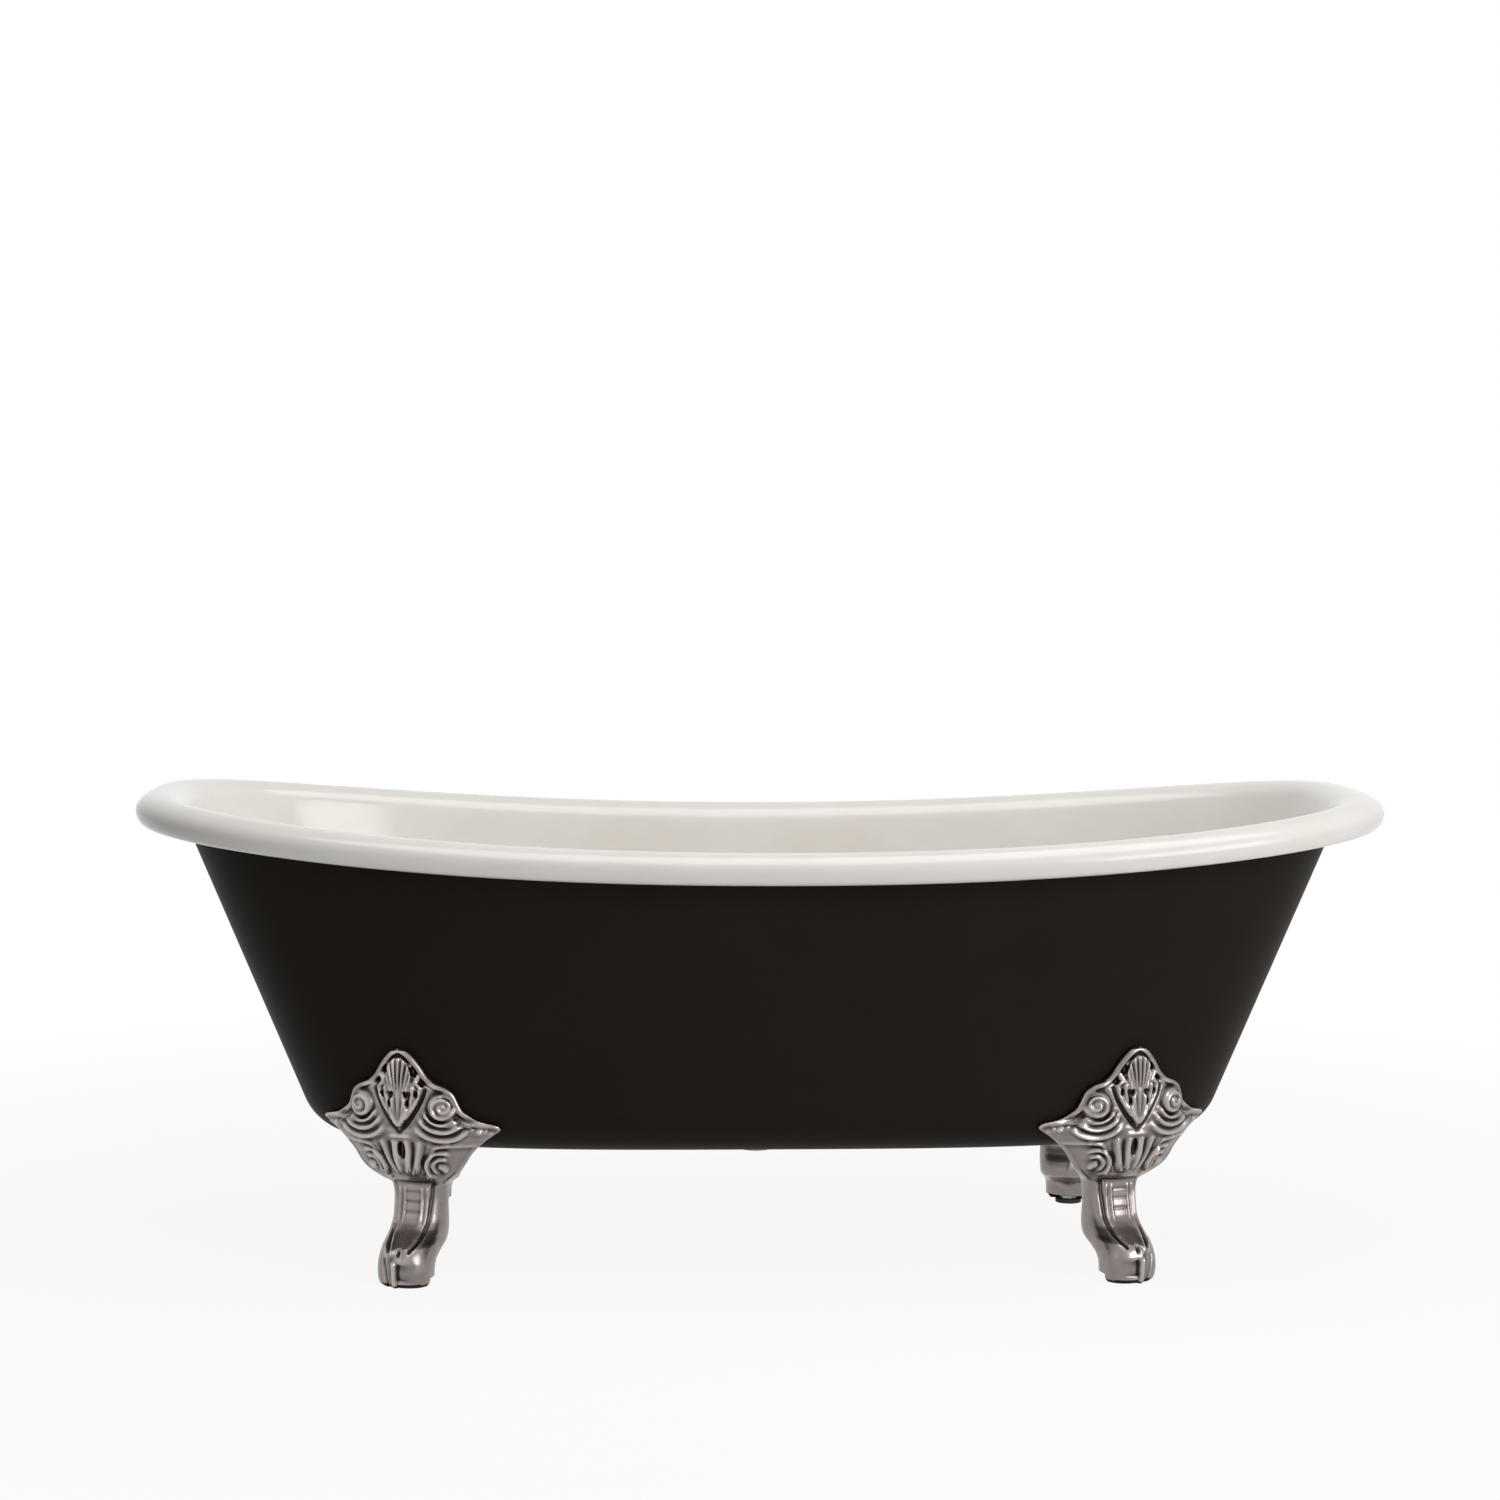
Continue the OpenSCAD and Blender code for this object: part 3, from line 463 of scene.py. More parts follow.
VOLUTE_PLACE = (57.0, 240.0)
VOLUTE_RADIUS = 18.0
VOLUTE_DOME = VOLUTE_PLACE + (VOLUTE_RADIUS + 1.0, VOLUTE_RADIUS + 1.0)
VOLUTE_PROUD = 6.5
VOLUTE_RIM_DEPTH = 2.2
VOLUTE_RIM_BAND = (VOLUTE_RADIUS - 1.0, VOLUTE_RADIUS + 1.0)
VOLUTE_FIELD_RADIUS = VOLUTE_RADIUS + 3.0
VOLUTE_FIELD_FADE = 2.4
SPIRAL_PITCH = 8.6
SPIRAL_DEPTH = 1.7
SPIRAL_BAND = (1.0, 5.0)
SPIRAL_FADE = 3.0
SWAG_RADII = (23.5, 33.0, 44.5)
SWAG_STARTS = (0.15, 0.35, 0.55)
SWAG_START_FADE = 0.4
SWAG_END = 2.35
SWAG_END_BAND = (-0.15, 0.15)
SWAG_SUNK = 1.0
SWAG_HALF_WIDTH = 5.5
SWAG_PROUD = 4.4
SWAG_RIB = (SWAG_PROUD + SWAG_SUNK, SWAG_HALF_WIDTH)
# The field sunk round a swag: its width as a share of the swag's, and how fast it gets deep
SWAG_FIELD_SHARE = 1.9
SWAG_FIELD_GAIN = 1.6
FIELD_SUNK = 2.2
FIELD_BAND = (206.0, 214.0)
FIELD_EDGE_BAND = (4.0, 7.0)
BORDER_WIDTH = 7.0
WING_BORDER_WIDTH = 3.6
WING_BORDER_BAND = (76.0, 92.0)
BORDER_PROUD = 3.4
# Height of the border at its edges, and its middle and roundness as shares of its width
BORDER_EDGE_SHARE = 0.4
BORDER_MIDDLE_SHARE = 0.45
BORDER_ROUND_SHARE = 0.75
BORDER_BAND = (207.0, 213.0)
BORDER_FADE_BAND = (-0.6, 1.8)
# Beads: distance from the middle, height, radius
BEADS = (
    (88.0, 217.5, 3.5), (95.0, 211.0, 2.4), (103.5, 208.0, 3.6), (111.0, 208.5, 2.3),
    (116.5, 206.0, 2.2), (25.5, 269.0, 3.4),
)
BEAD_PROUD = 1.2
BEAD_ROUNDNESS = 0.8
# Fans: foot, reach, half spread and pitch of the flutes as angles, where the flutes start
PALMETTE = ((0.0, 226.0), 80.0, 0.36, 0.10, 30.0)
PALMETTE_GROUND = 0.4
PALMETTE_FLUTE = 3.6
LEAFLETS = ((0.0, 200.0), 62.0, 0.34, 0.17, 10.0)
LEAFLET_GROUND = 1.2
LEAFLET_FLUTE = 2.8
# How much shorter a fan is at its sides, and how its outline fades
FAN_DROOP = 0.4
FAN_REACH_BAND = (-1.5, 2.5)
FAN_SIDE_BAND = (-0.02, 0.05)
FAN_START_FADE = 6.0
V_GROOVE = rounded(((36.0, 264.0), (32.0, 248.0), (18.0, 226.0), (1.0, 205.0)))
V_GROOVE_RIB = (-4.2, 2.5)
SIDE_LEAVES = (
    rounded(((29.0, 265.0), (25.0, 248.0), (11.0, 225.0))),
    rounded(((20.0, 264.0), (17.0, 246.0), (6.0, 220.0))),
    rounded(((29.0, 284.0), (22.0, 274.0), (15.0, 262.0))),
)
SIDE_LEAF_RIB = (3.6, 4.4)
# Pierced pits between the leaves: distance, height, half-width, half-height
PITS = (
    (9.0, 256.0, 2.0, 4.0), (20.0, 287.0, 3.2, 6.5), (24.0, 256.0, 2.0, 4.0),
    (12.5, 243.0, 1.6, 4.5), (31.5, 272.0, 2.6, 4.0),
)
PIT_DEPTH = 4.4
# A pit's outline, as a share of its oval, and the share over which its wall falls
PIT_EDGE = 1.25
PIT_WALL = 0.5

SCROLL_PLACE = (50.0, 155.0)
SCROLL_RADII = (13.0, 22.0)
SCROLL_RIB = (3.6, 4.6)
SCROLL_GROOVE_RIB = (-1.6, 2.0)
SCROLL_GROOVE_OFFSET = 3.6
SCROLL_START_BAND = (-0.9, -0.3)
SCROLL_END = 2.3
SCROLL_END_FADE = 0.5
SCROLL_EDGE_BAND = (1.5, 4.0)
SCROLL_BALL = SCROLL_PLACE + (7.0, 7.0)
SCROLL_BALL_PROUD = 4.4
PANEL_SUNK = 1.5
PANEL_EDGE_BAND = (1.5, 3.5)
PANEL_SIDE_BAND = (30.0, 45.0)
PANEL_TOP = 186.0
PANEL_TOP_FADE = 2.0
SILL_HEIGHT = 187.5
SILL_RIB = (1.4, 2.4)
SILL_SIDE_BAND = (58.0, 64.0)
SILL_EDGE_BAND = (2.0, 4.0)
BUD_MIDDLE = (0.0, 158.0, 34.0, 36.0)
BUD_RIB = (5.0, 1.0)
BUD_HOLLOW = (0.0, 181.0, 4.6, 11.5)
BUD_HOLLOW_DEPTH = 7.0
BUD_HOLLOW_EDGE = 1.15
BUD_PETALS = (
    rounded(((26.0, 191.0), (21.0, 170.0), (11.0, 150.0))),
    rounded(((9.0, 192.0), (9.5, 173.0), (5.0, 154.0))),
)
PETAL_RIB = (2.8, 5.6)
BUD_VEINS = (
    rounded(((17.0, 192.0), (15.0, 171.0), (8.0, 151.0))),
    rounded(((34.0, 188.0), (28.0, 167.0), (17.0, 146.0))),
)
VEIN_RIB = (-1.8, 2.6)
BUD_FRAME = rounded(((62.0, 189.0), (43.0, 185.0), (34.0, 164.0), (27.0, 140.0)))
BUD_FRAME_RIB = (3.0, 5.0)
BAR_HEIGHT = 200.5
BAR_RIB = (2.8, 3.6)
BAR_REACH = 17.0
BAR_FADE = 6.0
LEDGE_HEIGHT = 131.0
LEDGE_RIB = (-2.4, 3.6)
LEDGE_REACH = 34.0
LEDGE_FADE = 8.0

ANKLE_BAND = (74.0, 84.0)
ANKLE_TOP = 126.0
ANKLE_TOP_FADE = 5.0
ANKLE_RINGS = (118.0, 105.0, 92.0)
RING_RIB = (-1.3, 2.6)
RING_REACH = 13.0
RING_FADE = 4.0
ANKLE_STRIPS = (12.0, 19.0)
STRIP_RIB = (2.0, 3.4)
ANKLE_GROOVE = rounded(((27.0, 128.0), (24.0, 100.0), (23.0, 78.0), (22.0, 62.0), (15.0, 50.0)))
ANKLE_GROOVE_RIB = (-4.0, 4.0)
# The paw's claw and knuckle lie off its middle, towards the bath's end. The claw's face runs
# between two distances and two heights.
CLAW_SIDES = (-25.0, 0.0)
CLAW_HEIGHTS = (8.0, 36.0)
CLAW_FACE_DEPTH = 5.0
CLAW_SIDE_FADE = 2.0
CLAW_FOOT_FADE = 3.0
CLAW_TOP_FADE = 6.0
CLAW_EDGE = ((4.0, 0.0), (4.5, 33.0))
CLAW_EDGE_RIB = (3.4, 4.6)
TOE_GROOVE = rounded(((14.0, 2.0), (15.0, 18.0), (19.0, 38.0)))
TOE_GROOVE_RIB = (-3.0, 3.6)
KNUCKLE = (8.0, 47.0, 4.0, 4.0)
KNUCKLE_PROUD = 3.0
KNUCKLE_HOLE = (-1.0, 46.5, 2.8, 3.8)
KNUCKLE_HOLE_DEPTH = 3.6
KNUCKLE_HOLE_EDGE = 1.2

# Where the ornament of the shield, of the bud below it and of the leg meet
UPPER_BAND = (184.0, 188.0)
LOWER_BAND = (124.0, 132.0)
LOWER_TOP = 210.0
LOWER_TOP_FADE = 8.0
LEG_TOP = 132.0
LEG_TOP_FADE = 6.0
CREST_FADE = 3.0
# How far the foot's surface has to face the front before ornament starts on it
FACING_BAND = (0.02, 0.20)


def ridge(distance, half_width):
    """Rounded ridge of height 1 that falls to nothing at half_width."""
    share = np.clip(np.abs(distance) / half_width, 0, 1)
    return 0.5 + 0.5 * np.cos(math.pi * share)


def polar(across, height, place):
    du = across - place[0]
    dz = height - place[1]
    return np.hypot(du, dz), np.arctan2(dz, du)


def oval(across, height, place):
    """Distance from an upright oval's middle, 1 on its outline."""
    return np.hypot((across - place[0]) / place[2], (height - place[1]) / place[3])


def line_distance(across, height, points):
    """Distance to a line through points."""
    best = np.full(np.shape(across), np.inf)
    for (u0, z0), (u1, z1) in zip(points[:-1], points[1:]):
        du, dz = u1 - u0, z1 - z0
        share = ((across - u0) * du + (height - z0) * dz) / (du * du + dz * dz)
        share = np.clip(share, 0, 1)
        best = np.minimum(best, np.hypot(across - u0 - share * du, height - z0 - share * dz))
    return best


def before(limit, value, fade):
    """1 well before a limit, and 0 past it."""
    return smooth(limit - value, 0, fade)


def rib(distance, size):
    """Rounded rib or groove, of a height and half-width, along where a distance is 0."""
    proud, half_width = size
    return proud * ridge(distance, half_width)


def dome(across, height, place):
    """Round swelling of height 1 over an upright oval."""
    return np.sqrt(np.clip(1 - oval(across, height, place) ** 2, 0, 1))


def pit(across, height, place, depth, edge):
    """Upright oval pit whose wall starts a little outside the oval."""
    return -depth * before(edge, oval(across, height, place), PIT_WALL)


def fan(across, height, form):
    """Fluted fan: how far inside its outline a place lies, and the wave of its flutes."""
    foot, reach, spread, pitch, start = form
    radius, turn = polar(across, height, foot)
    angle = np.abs(math.pi / 2 - turn)
    limit = reach * (1 - FAN_DROOP * (angle / spread) ** 2)
    inside = smooth(limit - radius, *FAN_REACH_BAND) * smooth(spread - angle, *FAN_SIDE_BAND)
    inside = inside * smooth(radius, start, start + FAN_START_FADE)
    return inside, np.abs(np.cos(math.pi * angle / pitch))


def palmette(across, height, relief):
    """Fan of leaves, its lower cluster in a V and the leaves beside them."""
    inside, wave = fan(across, height, PALMETTE)
    relief = mix(relief, PALMETTE_GROUND + PALMETTE_FLUTE * wave, inside)
    inside, wave = fan(across, height, LEAFLETS)
    relief = mix(relief, LEAFLET_GROUND + LEAFLET_FLUTE * wave, inside)
    for leaf in SIDE_LEAVES:
        relief = relief + rib(line_distance(across, height, leaf), SIDE_LEAF_RIB)
    relief = relief + rib(line_distance(across, height, V_GROOVE), V_GROOVE_RIB)
    for place in PITS:
        relief = relief + pit(across, height, place, PIT_DEPTH, PIT_EDGE)
    return relief


def swags(across, height, relief):
    """Ridges that hang round the volute, in a sunk field."""
    radius, _ = polar(across, height, VOLUTE_PLACE)
    below = np.arctan2(VOLUTE_PLACE[1] - height, VOLUTE_PLACE[0] - across)
    for swag, start in zip(SWAG_RADII, SWAG_STARTS):
        span = smooth(below, start, start + SWAG_START_FADE)
        span = span * smooth(SWAG_END - below, *SWAG_END_BAND)
        field = ridge(radius - swag, SWAG_FIELD_SHARE * SWAG_HALF_WIDTH) * span
        relief = mix(relief, -SWAG_SUNK, np.minimum(1, SWAG_FIELD_GAIN * field))
        relief = relief + rib(radius - swag, SWAG_RIB) * span
    return relief


def volute(across, height, relief):
    """Round boss cut by a spiral."""
    radius, angle = polar(across, height, VOLUTE_PLACE)
    boss = VOLUTE_PROUD * dome(across, height, VOLUTE_DOME)
    wave = np.cos(2 * math.pi * radius / SPIRAL_PITCH - angle)
    wave = wave * smooth(radius, *SPIRAL_BAND) * before(VOLUTE_RADIUS, radius, SPIRAL_FADE)
    boss = boss + SPIRAL_DEPTH * wave - VOLUTE_RIM_DEPTH * smooth(radius, *VOLUTE_RIM_BAND)
    return mix(relief, boss, before(VOLUTE_FIELD_RADIUS, radius, VOLUTE_FIELD_FADE))


def upper_relief(across, height, edge):
    """Ornament above the wings."""
    relief = -FIELD_SUNK * smooth(height, *FIELD_BAND) * smooth(edge, *FIELD_EDGE_BAND)
    relief = palmette(across, height, relief)
    relief = swags(across, height, relief)
    relief = volute(across, height, relief)
    width = mix(BORDER_WIDTH, WING_BORDER_WIDTH, smooth(across, *WING_BORDER_BAND))
    crest = ridge(edge - BORDER_MIDDLE_SHARE * width, BORDER_ROUND_SHARE * width)
    crest = mix(BORDER_EDGE_SHARE, 1, crest)
    border = smooth(width - edge, *BORDER_FADE_BAND) * smooth(height, *BORDER_BAND)
    relief = mix(relief, BORDER_PROUD * crest, border)
    for along, high, size in BEADS:
        proud = BEAD_ROUNDNESS * size + BEAD_PROUD
        relief = relief + proud * dome(across, height, (along, high, size, size))
    return relief


def scrolls(across, height, edge):
    """Side scroll of two ribs round a ball."""
    radius, _ = polar(across, height, SCROLL_PLACE)
    above = np.arctan2(height - SCROLL_PLACE[1], SCROLL_PLACE[0] - across)
    span = smooth(above, *SCROLL_START_BAND) * before(SCROLL_END, above, SCROLL_END_FADE)
    span = span * smooth(edge, *SCROLL_EDGE_BAND)
    relief = SCROLL_BALL_PROUD * dome(across, height, SCROLL_BALL)
    for size in SCROLL_RADII:
        relief = relief + rib(radius - size, SCROLL_RIB) * span
        relief = relief + rib(radius - size - SCROLL_GROOVE_OFFSET, SCROLL_GROOVE_RIB) * span
    return relief


def bud(across, height):
    """Bud with its petals and veins, the frame round it and the bar and ledge that end it."""
    relief = rib(oval(across, height, BUD_MIDDLE), BUD_RIB)
    for lines, size in (
        (BUD_PETALS, PETAL_RIB),
        (BUD_VEINS, VEIN_RIB),
        ((BUD_FRAME,), BUD_FRAME_RIB),
    ):
        for line in lines:
            relief = relief + rib(line_distance(across, height, line), size)
    relief = relief + pit(across, height, BUD_HOLLOW, BUD_HOLLOW_DEPTH, BUD_HOLLOW_EDGE)
    relief = relief + rib(height - BAR_HEIGHT, BAR_RIB) * before(BAR_REACH, across, BAR_FADE)
    ledge = rib(height - LEDGE_HEIGHT, LEDGE_RIB) * before(LEDGE_REACH, across, LEDGE_FADE)
    return relief + ledge


def lower_relief(across, height, edge):
    """Ornament below the wings: panel and sill, scrolls and bud."""
    panel = smooth(edge, *PANEL_EDGE_BAND) * smooth(across, *PANEL_SIDE_BAND)
    panel = -PANEL_SUNK * panel * before(PANEL_TOP, height, PANEL_TOP_FADE)
    sill = smooth(across, *SILL_SIDE_BAND) * smooth(edge, *SILL_EDGE_BAND)
    sill = rib(height - SILL_HEIGHT, SILL_RIB) * sill
    return panel + sill + scrolls(across, height, edge) + bud(across, height)


def ankle(across, height):
    """Rings and strips of the ankle, and the groove at its sides."""
    on_ankle = smooth(height, *ANKLE_BAND) * before(ANKLE_TOP, height, ANKLE_TOP_FADE)
    relief = np.zeros(np.shape(across))
    for level in ANKLE_RINGS:
        relief = relief + rib(height - level, RING_RIB) * before(RING_REACH, across, RING_FADE)
    for strip in ANKLE_STRIPS:
        relief = relief + rib(across - strip, STRIP_RIB)
    return relief * on_ankle + rib(line_distance(across, height, ANKLE_GROOVE), ANKLE_GROOVE_RIB)


def leg_relief(along, height):
    """Ornament of the ankle and paw. along is signed, towards the bath's end."""
    relief = ankle(np.abs(along), height)
    left, right = CLAW_SIDES
    low, high = CLAW_HEIGHTS
    tilt = np.clip((along - left) / (right - left), 0, 1)
    tilt = tilt * before(right + CLAW_SIDE_FADE / 2, along, CLAW_SIDE_FADE)
    on_face = smooth(height, low, low + CLAW_FOOT_FADE) * before(high, height, CLAW_TOP_FADE)
    relief = relief - CLAW_FACE_DEPTH * tilt * on_face
    relief = relief + rib(line_distance(along, height, CLAW_EDGE), CLAW_EDGE_RIB)
    relief = relief + rib(line_distance(along, height, TOE_GROOVE), TOE_GROOVE_RIB)
    relief = relief + KNUCKLE_PROUD * dome(along, height, KNUCKLE)
    hole = pit(along, height, KNUCKLE_HOLE, KNUCKLE_HOLE_DEPTH, KNUCKLE_HOLE_EDGE)
    return relief + hole


def row_values(heights):
    """Half-width, front, back and turn into the shield at each height."""
    leg, shield = LEG_ROW_SHARES, SHIELD_ROW_SHARES
    levels = np.concatenate([
        leg[:, 0] * UNDERSIDE_HEIGHT, UNDERSIDE_HEIGHT + shield[:, 0] * SHIELD_HEIGHT
    ])
    columns = (
        np.concatenate([leg[:, 3] * PAW_HALF_WIDTH, shield[:, 1] * WING_REACH]),
        np.concatenate([leg[:, 1], shield[:, 2]]) * FOOT_DEPTH,
        np.concatenate([leg[:, 2], np.full(len(shield), -SHIELD_BACK_SHARE)]) * FOOT_DEPTH,
        np.concatenate([leg[:, 4], np.ones(len(shield))]),
    )
    return [hermite(levels, column, heights) for column in columns]


def hermite(levels, values, heights):
    """Smooth curve through a table that never overshoots it."""
    step = np.diff(levels)
    slope = np.diff(values) / step
    below, above = slope[:-1], slope[1:]
    tangent = np.concatenate([slope[:1], np.zeros(len(values) - 2), slope[-1:]])
    agree = below * above > 0
    tangent[1:-1] = np.where(agree, 2 * below * above / (below + above + TINY), 0)
    span = np.clip(np.searchsorted(levels, heights) - 1, 0, len(step) - 1)
    share = np.clip((heights - levels[span]) / step[span], 0, 1)
    cube, square = share**3, share**2
    return (
        (2 * cube - 3 * square + 1) * values[span]
        + (cube - 2 * square + share) * step[span] * tangent[span]
        + (3 * square - 2 * cube) * values[span + 1]
        + (cube - square) * step[span] * tangent[span + 1]
    )


def blurred(values, reach):
    """Mean over the points that lie within a reach along the rows and along the columns."""
    for axis in (0, 1):
        shifts = range(-reach, reach + 1)
        values = sum(np.roll(values, shift, axis=axis) for shift in shifts) / len(shifts)
    return values


# Rows of the paw, below this height, are this many times as far apart as those above
PAW_TOP = 76.0
PAW_ROW_SPREAD = 1.5
# How far the columns crowd towards the foot's sides, and how many times fewer its back has
SIDE_CROWDING = 0.5
BACK_THINNING = 4
# How far the sand of the mould rounds the ornament, in points of the grid
SAND_REACH = 1
SAND_PASSES = 2
# How far a place lies below its surroundings before it counts as fully sunk, in
# millimetres, and how many points out those surroundings reach. This sets the feet's
# wear and tarnish, and their painted highlight on high places and painted shade in hollows
HOLLOW_DEPTH = 2.0
HOLLOW_REACH = 7


def foot_surface(step, columns, relief_scale):
    """Points of the front right foot in its own frame, as a grid of rings, and where each
    lies between the high places of the ornament, 0, and its hollows, 1. That share sets
    the nickel's wear and tarnish and its painted highlight and painted shade."""
    paw_rows = np.arange(0, PAW_TOP, step * PAW_ROW_SPREAD)
    heel = [HEEL_EDGE_SHARE * HEEL_HEIGHT, HEEL_HEIGHT]
    upper_rows = np.arange(PAW_TOP, CREST_HEIGHT, step)
    heights = np.unique(np.concatenate([paw_rows, heel, upper_rows, [CREST_HEIGHT]]))
    half, front, back, turn = row_values(heights)

    even = np.linspace(-1, 1, columns)
    front_share = mix(even, np.sin(even * math.pi / 2), SIDE_CROWDING)
    front_angles = np.arccos(np.clip(-front_share, -1, 1))
    back_angles = np.linspace(math.pi, 2 * math.pi, columns // BACK_THINNING)[1:-1]
    angles = np.concatenate([front_angles, back_angles])
    turn_angle, height = np.meshgrid(angles, heights)

    below_heel = heights < HEEL_HEIGHT
    back = np.where(below_heel, HEEL_BACK_SHARE * FOOT_DEPTH, back)
    half_grid, front_grid = half[:, None], front[:, None]
    back_grid, turn_grid = back[:, None], turn[:, None]
    cosine, sine = np.cos(turn_angle), np.sin(turn_angle)
    sine = np.where(np.abs(sine) < TINY, 0, sine)
    round_u = half_grid * signed_power(cosine, LEG_POWER)
    middle = (front_grid + back_grid) / 2
    round_v = middle + (front_grid - back_grid) / 2 * signed_power(sine, LEG_POWER)
    sole_back = -SOLE_BACK_SHARE * FOOT_DEPTH
    round_v = np.where(below_heel[:, None], np.maximum(round_v, sole_back), round_v)
    flat_u = half_grid * cosine
    rest = shield_back(flat_u, height)
    rest_middle = shield_back(np.zeros_like(flat_u), height)
    bulge = np.maximum(0, front_grid - rest_middle - SHIELD_EDGE)
    flat_v = rest + SHIELD_EDGE * (0.5 + 0.5 * signed_power(sine, EDGE_POWER))
    flat_v = flat_v + bulge * np.clip(sine, 0, 1) ** BULGE_POWER
    u = mix(round_u, flat_u, turn_grid)
    v = mix(round_v, flat_v, turn_grid)

    grid = np.stack([u, v, height], axis=2)
    across = np.gradient(grid, axis=1)
    upward = np.gradient(grid, axis=0)
    normal = np.cross(upward, across)
    normal = normal / np.maximum(np.linalg.norm(normal, axis=2, keepdims=True), TINY)
    normal = np.where(normal[:, :, 1:2] * np.sign(sine)[:, :, None] < 0, -normal, normal)

    side = np.abs(u)
    edge = line_distance(side, height, list(zip(half, heights)) + [(0, CREST_HEIGHT)])
    on_upper = smooth(height, *UPPER_BAND)
    on_lower = smooth(height, *LOWER_BAND) * before(LOWER_TOP, height, LOWER_TOP_FADE)
    on_leg = before(LEG_TOP, height, LEG_TOP_FADE)
    relief = upper_relief(side, height, edge) * on_upper
    relief = relief + lower_relief(side, height, edge) * on_lower
    relief = relief + leg_relief(u, height) * on_leg
    facing = (sine > 0) * smooth(sine, *FACING_BAND)
    relief = relief * facing * before(CREST_HEIGHT, height, CREST_FADE) * relief_scale
    for _ in range(SAND_PASSES):
        relief = blurred(relief, SAND_REACH)
    # Darker where sunk, lighter where high: tarnish and wear, also painted shade and highlight
    sunk = blurred(relief, HOLLOW_REACH) - relief
    wear_and_shading = np.clip(0.5 + sunk / (2 * HOLLOW_DEPTH), 0, 1)
    points = grid + normal * relief[:, :, None]
    points[:, :, 2] = np.maximum(points[:, :, 2], 0)
    return points, wear_and_shading


# Making meshes


def new_piece(name, vertices, faces):
    """Mesh object from points in millimetres."""
    mesh = bpy.data.meshes.new(name)
    mesh.from_pydata((np.asarray(vertices) * MM).tolist(), [], faces)
    mesh.validate()
    piece = bpy.data.objects.new(name, mesh)
    bpy.context.scene.collection.objects.link(piece)
    return piece


def shade(piece, sharp_degrees=38):
    piece.data.polygons.foreach_set("use_smooth", [True] * len(piece.data.polygons))
    piece.data.set_sharp_from_angle(angle=math.radians(sharp_degrees))


def ring_faces(rows, count):
    """Quads between rings of the same number of points."""
    faces = []
    for row in range(rows - 1):
        base = row * count
        for i in range(count):
            j = (i + 1) % count
            faces.append((base + i, base + j, base + count + j, base + count + i))
    return faces


def fan_faces(centre, ring, outward):
    """Triangles from a middle point to a ring."""
    count = len(ring)
    if outward:
        return [(centre, ring[i], ring[(i + 1) % count]) for i in range(count)]
    return [(centre, ring[(i + 1) % count], ring[i]) for i in range(count)]


def disc_rings(ring, shares):
    """Smaller copies of a flat ring, from its edge towards its middle."""
    middle = np.array([0.0, 0.0, ring[0][2]])
    return [middle + (ring - middle) * share for share in shares]


FLOOR_SHARES = (0.85, 0.65, 0.45, 0.25, 0.1)


def closed_skin(name, inner_depth, outer_depth, stations):
    """Closed layer of the bath's wall between two depths, floor included."""
    outer = skin_rings(outer_depth, stations)
    inner = skin_rings(inner_depth, stations)
    rings = disc_rings(outer[0], FLOOR_SHARES[::-1]) + outer
    rings = rings + inner[::-1] + disc_rings(inner[0], FLOOR_SHARES)
    vertices = np.concatenate(rings)
    faces = ring_faces(len(rings), stations)
    low = len(vertices)
    vertices = np.concatenate([
        vertices, [[0, 0, outer[0][0][2]]], [[0, 0, inner[0][0][2]]]
    ])
    last = (len(rings) - 1) * stations
    faces = faces + fan_faces(low, list(range(stations)), False)
    faces = faces + fan_faces(low + 1, list(range(last, last + stations)), True)
    return new_piece(name, vertices, faces)


def cylinder_piece(name, diameter, matrix, length, segments):
    """Plain round tool for cutting or joining, in millimetres."""
    mesh = bpy.data.meshes.new(name)
    shape = bmesh.new()
    bmesh.ops.create_cone(
        shape, cap_ends=True, segments=segments, radius1=diameter / 2 * MM,
        radius2=diameter / 2 * MM, depth=length * MM,
    )
    bmesh.ops.transform(shape, matrix=matrix, verts=shape.verts)
    shape.to_mesh(mesh)
    shape.free()
    tool = bpy.data.objects.new(name, mesh)
    bpy.context.scene.collection.objects.link(tool)
    return tool


def apply_boolean(piece, tool, operation):
    """Cuts or joins a tool into a piece, and removes the tool."""
    step = piece.modifiers.new("tool", "BOOLEAN")
    step.operation = operation
    step.solver = "EXACT"
    step.object = tool
    bpy.context.view_layer.update()
    graph = bpy.context.evaluated_depsgraph_get()
    mesh = bpy.data.meshes.new_from_object(piece.evaluated_get(graph))
    piece.modifiers.clear()
    old = piece.data
    piece.data = mesh
    mesh.name = piece.name
    bpy.data.meshes.remove(old)
    bpy.data.objects.remove(tool)
    if len(mesh.polygons) == 0:
        raise RuntimeError(f"{piece.name}: a cut left nothing")


def upright(x, y, z):
    return Matrix.Translation(Vector((x, y, z)) * MM)


OVERFLOW_HEIGHT = RIM_HEIGHT + CROWN_HEIGHT - OVERFLOW_DROP
SIDE_THROAT = throat_foot(HALF_WIDTH, RIM_HEIGHT, SIDE_LEAN, 0)
OVERFLOW_DISTANCE = SIDE_THROAT[0] - (SIDE_THROAT[1] - OVERFLOW_HEIGHT) * math.tan(SIDE_LEAN)


def overflow_matrix():
    """Frame at the overflow's middle with +Z out through the rear wall."""
    place = Matrix.Translation(Vector((0, OVERFLOW_DISTANCE, OVERFLOW_HEIGHT)) * MM)
    return place @ Matrix.Rotation(-math.pi / 2 - SIDE_LEAN, 4, "X")


HOLE_TOOL_LENGTH = 60.0
ROUND_SEGMENTS = 96
SMALL_ROUND_SEGMENTS = 48


def cut_hole(piece, diameter, matrix, length=HOLE_TOOL_LENGTH, segments=ROUND_SEGMENTS):
    tool = cylinder_piece("hole_tool", diameter, matrix, length, segments)
    apply_boolean(piece, tool, "DIFFERENCE")


def cut_plumbing_holes(piece):
    cut_hole(piece, WASTE_HOLE, upright(0, WASTE_OFFSET, UNDERSIDE_HEIGHT))
    cut_hole(piece, OVERFLOW_HOLE, overflow_matrix())


